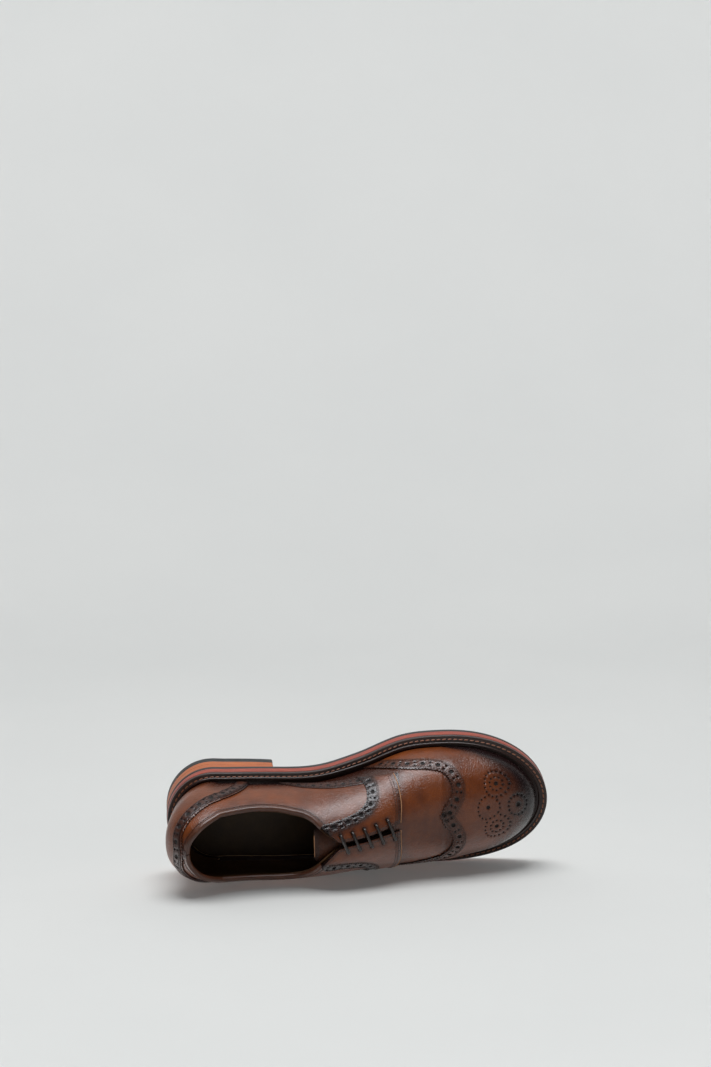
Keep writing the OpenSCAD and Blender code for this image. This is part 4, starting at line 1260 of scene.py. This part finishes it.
# ---------------------------------------------------------------- nails and the CAD nodes that stay
for n_, mt in (("heel_nails", brass), ("cork_filler", cork), ("shank", steel), ("heel_counter", insole_mat),
               ("toe_puff", insole_mat)):
    ob = frame["nodes"][n_]
    ob.data.materials.clear()
    ob.data.materials.append(mt)

# ---------------------------------------------------------------- a pass over the mesh pieces with materials; it changes nothing
for ob in list(scene.objects):
    if ob.type != "MESH" or not ob.data.materials:
        continue

# ---------------------------------------------------------------- stage: a pale sheet and soft light
def stage_plane():
    """The sheet touches the lateral side of the sole and of the upper."""
    pts = []
    for ob in scene.objects:
        if ob.type == "MESH" and ob.name not in frame["nodes"] and not ob.name.startswith("stage"):
            co = np.empty(len(ob.data.vertices) * 3, np.float32)
            ob.data.vertices.foreach_get("co", co)
            pts.append(co.reshape(-1, 3)[::7])
    return np.vstack(pts)


pts = stage_plane()
nrm = np.array([0.9836, 0.0, -0.18])
nrm = nrm / np.linalg.norm(nrm)
off = float((pts @ nrm).min()) - 0.0004
c = nrm * off
view = vec([0.0808, -0.3144, -0.9458])
away = unit(view - nrm * float(view @ nrm))
across = np.cross(nrm, away)
prof = [(-3.2, 0.0), (-1.0, 0.0), (0.9, 0.0)]
for k in range(1, 25):
    th = math.pi / 2 * k / 24
    prof.append((0.9 + 1.5 * math.sin(th), 1.5 * (1 - math.cos(th))))
prof.append((2.4, 6.0))
verts = []
for x, y in prof:
    for w_ in (-5.0, 5.0):
        verts.append(c + away * x + nrm * y + across * w_)
me = bpy.data.meshes.new("stage_sheet")
me.from_pydata([tuple(v) for v in verts], [],
               [(2 * k, 2 * k + 1, 2 * k + 3, 2 * k + 2) for k in range(len(prof) - 1)])
me.polygons.foreach_set("use_smooth", np.ones(len(me.polygons), bool))
if Vector(me.polygons[0].normal).dot(Vector(nrm)) < 0:
    me.flip_normals()
sheet = bpy.data.objects.new("stage_sheet", me)
scene.collection.objects.link(sheet)
mat, nt, bsdf = material("stage_paper")
co = coords(nt)
pn = node(nt, "ShaderNodeTexNoise", Scale=3.0, Detail=4.0)
nt.links.new(co, pn.inputs["Vector"])
nt.links.new(mix(nt, pn.outputs[0], (0.73, 0.745, 0.74), (0.79, 0.80, 0.79)), bsdf.inputs["Base Color"])
bsdf.inputs["Roughness"].default_value = 0.9
bsdf.inputs["Specular IOR Level"].default_value = 0.1
geo = node(nt, "ShaderNodeNewGeometry")
tr = node(nt, "ShaderNodeBsdfTransparent")
mx = node(nt, "ShaderNodeMixShader")
outn = nt.nodes["Material Output"]
nt.links.new(geo.outputs["Backfacing"], mx.inputs[0])
nt.links.new(bsdf.outputs[0], mx.inputs[1])
nt.links.new(tr.outputs[0], mx.inputs[2])
nt.links.new(mx.outputs[0], outn.inputs["Surface"])
me.materials.append(mat)

world = bpy.data.worlds.new("world")
scene.world = world
world.use_nodes = True
bg = world.node_tree.nodes["Background"]
bg.inputs["Color"].default_value = (0.9, 0.94, 1.0, 1)
bg.inputs["Strength"].default_value = 0.05
wt = world.node_tree
pale = wt.nodes.new("ShaderNodeBackground")
pale.inputs["Color"].default_value = (0.62, 0.635, 0.64, 1)
seen = wt.nodes.new("ShaderNodeLightPath")
wmix = wt.nodes.new("ShaderNodeMixShader")
wt.links.new(seen.outputs["Is Camera Ray"], wmix.inputs[0])
wt.links.new(bg.outputs[0], wmix.inputs[1])
wt.links.new(pale.outputs[0], wmix.inputs[2])
wt.links.new(wmix.outputs[0], wt.nodes["World Output"].inputs["Surface"])


def aim(name, kind, loc, target, power, **kw):
    d = bpy.data.lights.new(name, kind)
    d.energy = power
    for k, v in kw.items():
        setattr(d, k, v)
    ob = bpy.data.objects.new(name, d)
    scene.collection.objects.link(ob)
    ob.location = loc
    ob.rotation_euler = (Vector(target) - Vector(loc)).to_track_quat("-Z", "Y").to_euler()
    return ob


over = aim("floor_light", "SUN", tuple(nrm * 2 + away * 0.35), (0, 0, 0), 2.45, angle=0.8)
wall = aim("wall_light", "SUN", tuple(nrm * 0.16 - away * 1.0), (0, 0, 0), 1.95, angle=0.5, use_shadow=False)
keys = [aim("key_light", "AREA", (0.9, 0.04, 0.05), (0, 0, 0.04), 11.0, color=(0.93, 0.96, 1.0),
            shape="RECTANGLE", size=0.75, size_y=0.4),
        aim("top_light", "AREA", (0.75, -0.2, 0.8), (0, 0, 0.04), 0.25, shape="RECTANGLE", size=0.7,
            size_y=0.7),
        aim("back_fill", "AREA", (-0.9, 0.9, 0.0), (0, 0.05, 0.05), 5, shape="RECTANGLE", size=0.8,
            size_y=0.8),
        aim("lateral_fill", "AREA", (-1.0, -0.5, -0.05), (0, 0, 0.05), 1.4, shape="RECTANGLE", size=0.8,
            size_y=0.8)]
shoe_only = bpy.data.collections.new("shoe_only")
for ob in list(scene.objects):
    if ob.type == "MESH" and ob is not sheet:
        shoe_only.objects.link(ob)
stage_only = bpy.data.collections.new("stage_only")
stage_only.objects.link(sheet)
for l_ in keys:
    l_.light_linking.receiver_collection = shoe_only
    l_.light_linking.blocker_collection = shoe_only
for l_ in (over, wall):
    l_.light_linking.receiver_collection = stage_only

scene.view_settings.view_transform = "Standard"
scene.view_settings.look = "None"
scene.view_settings.exposure = 0.0
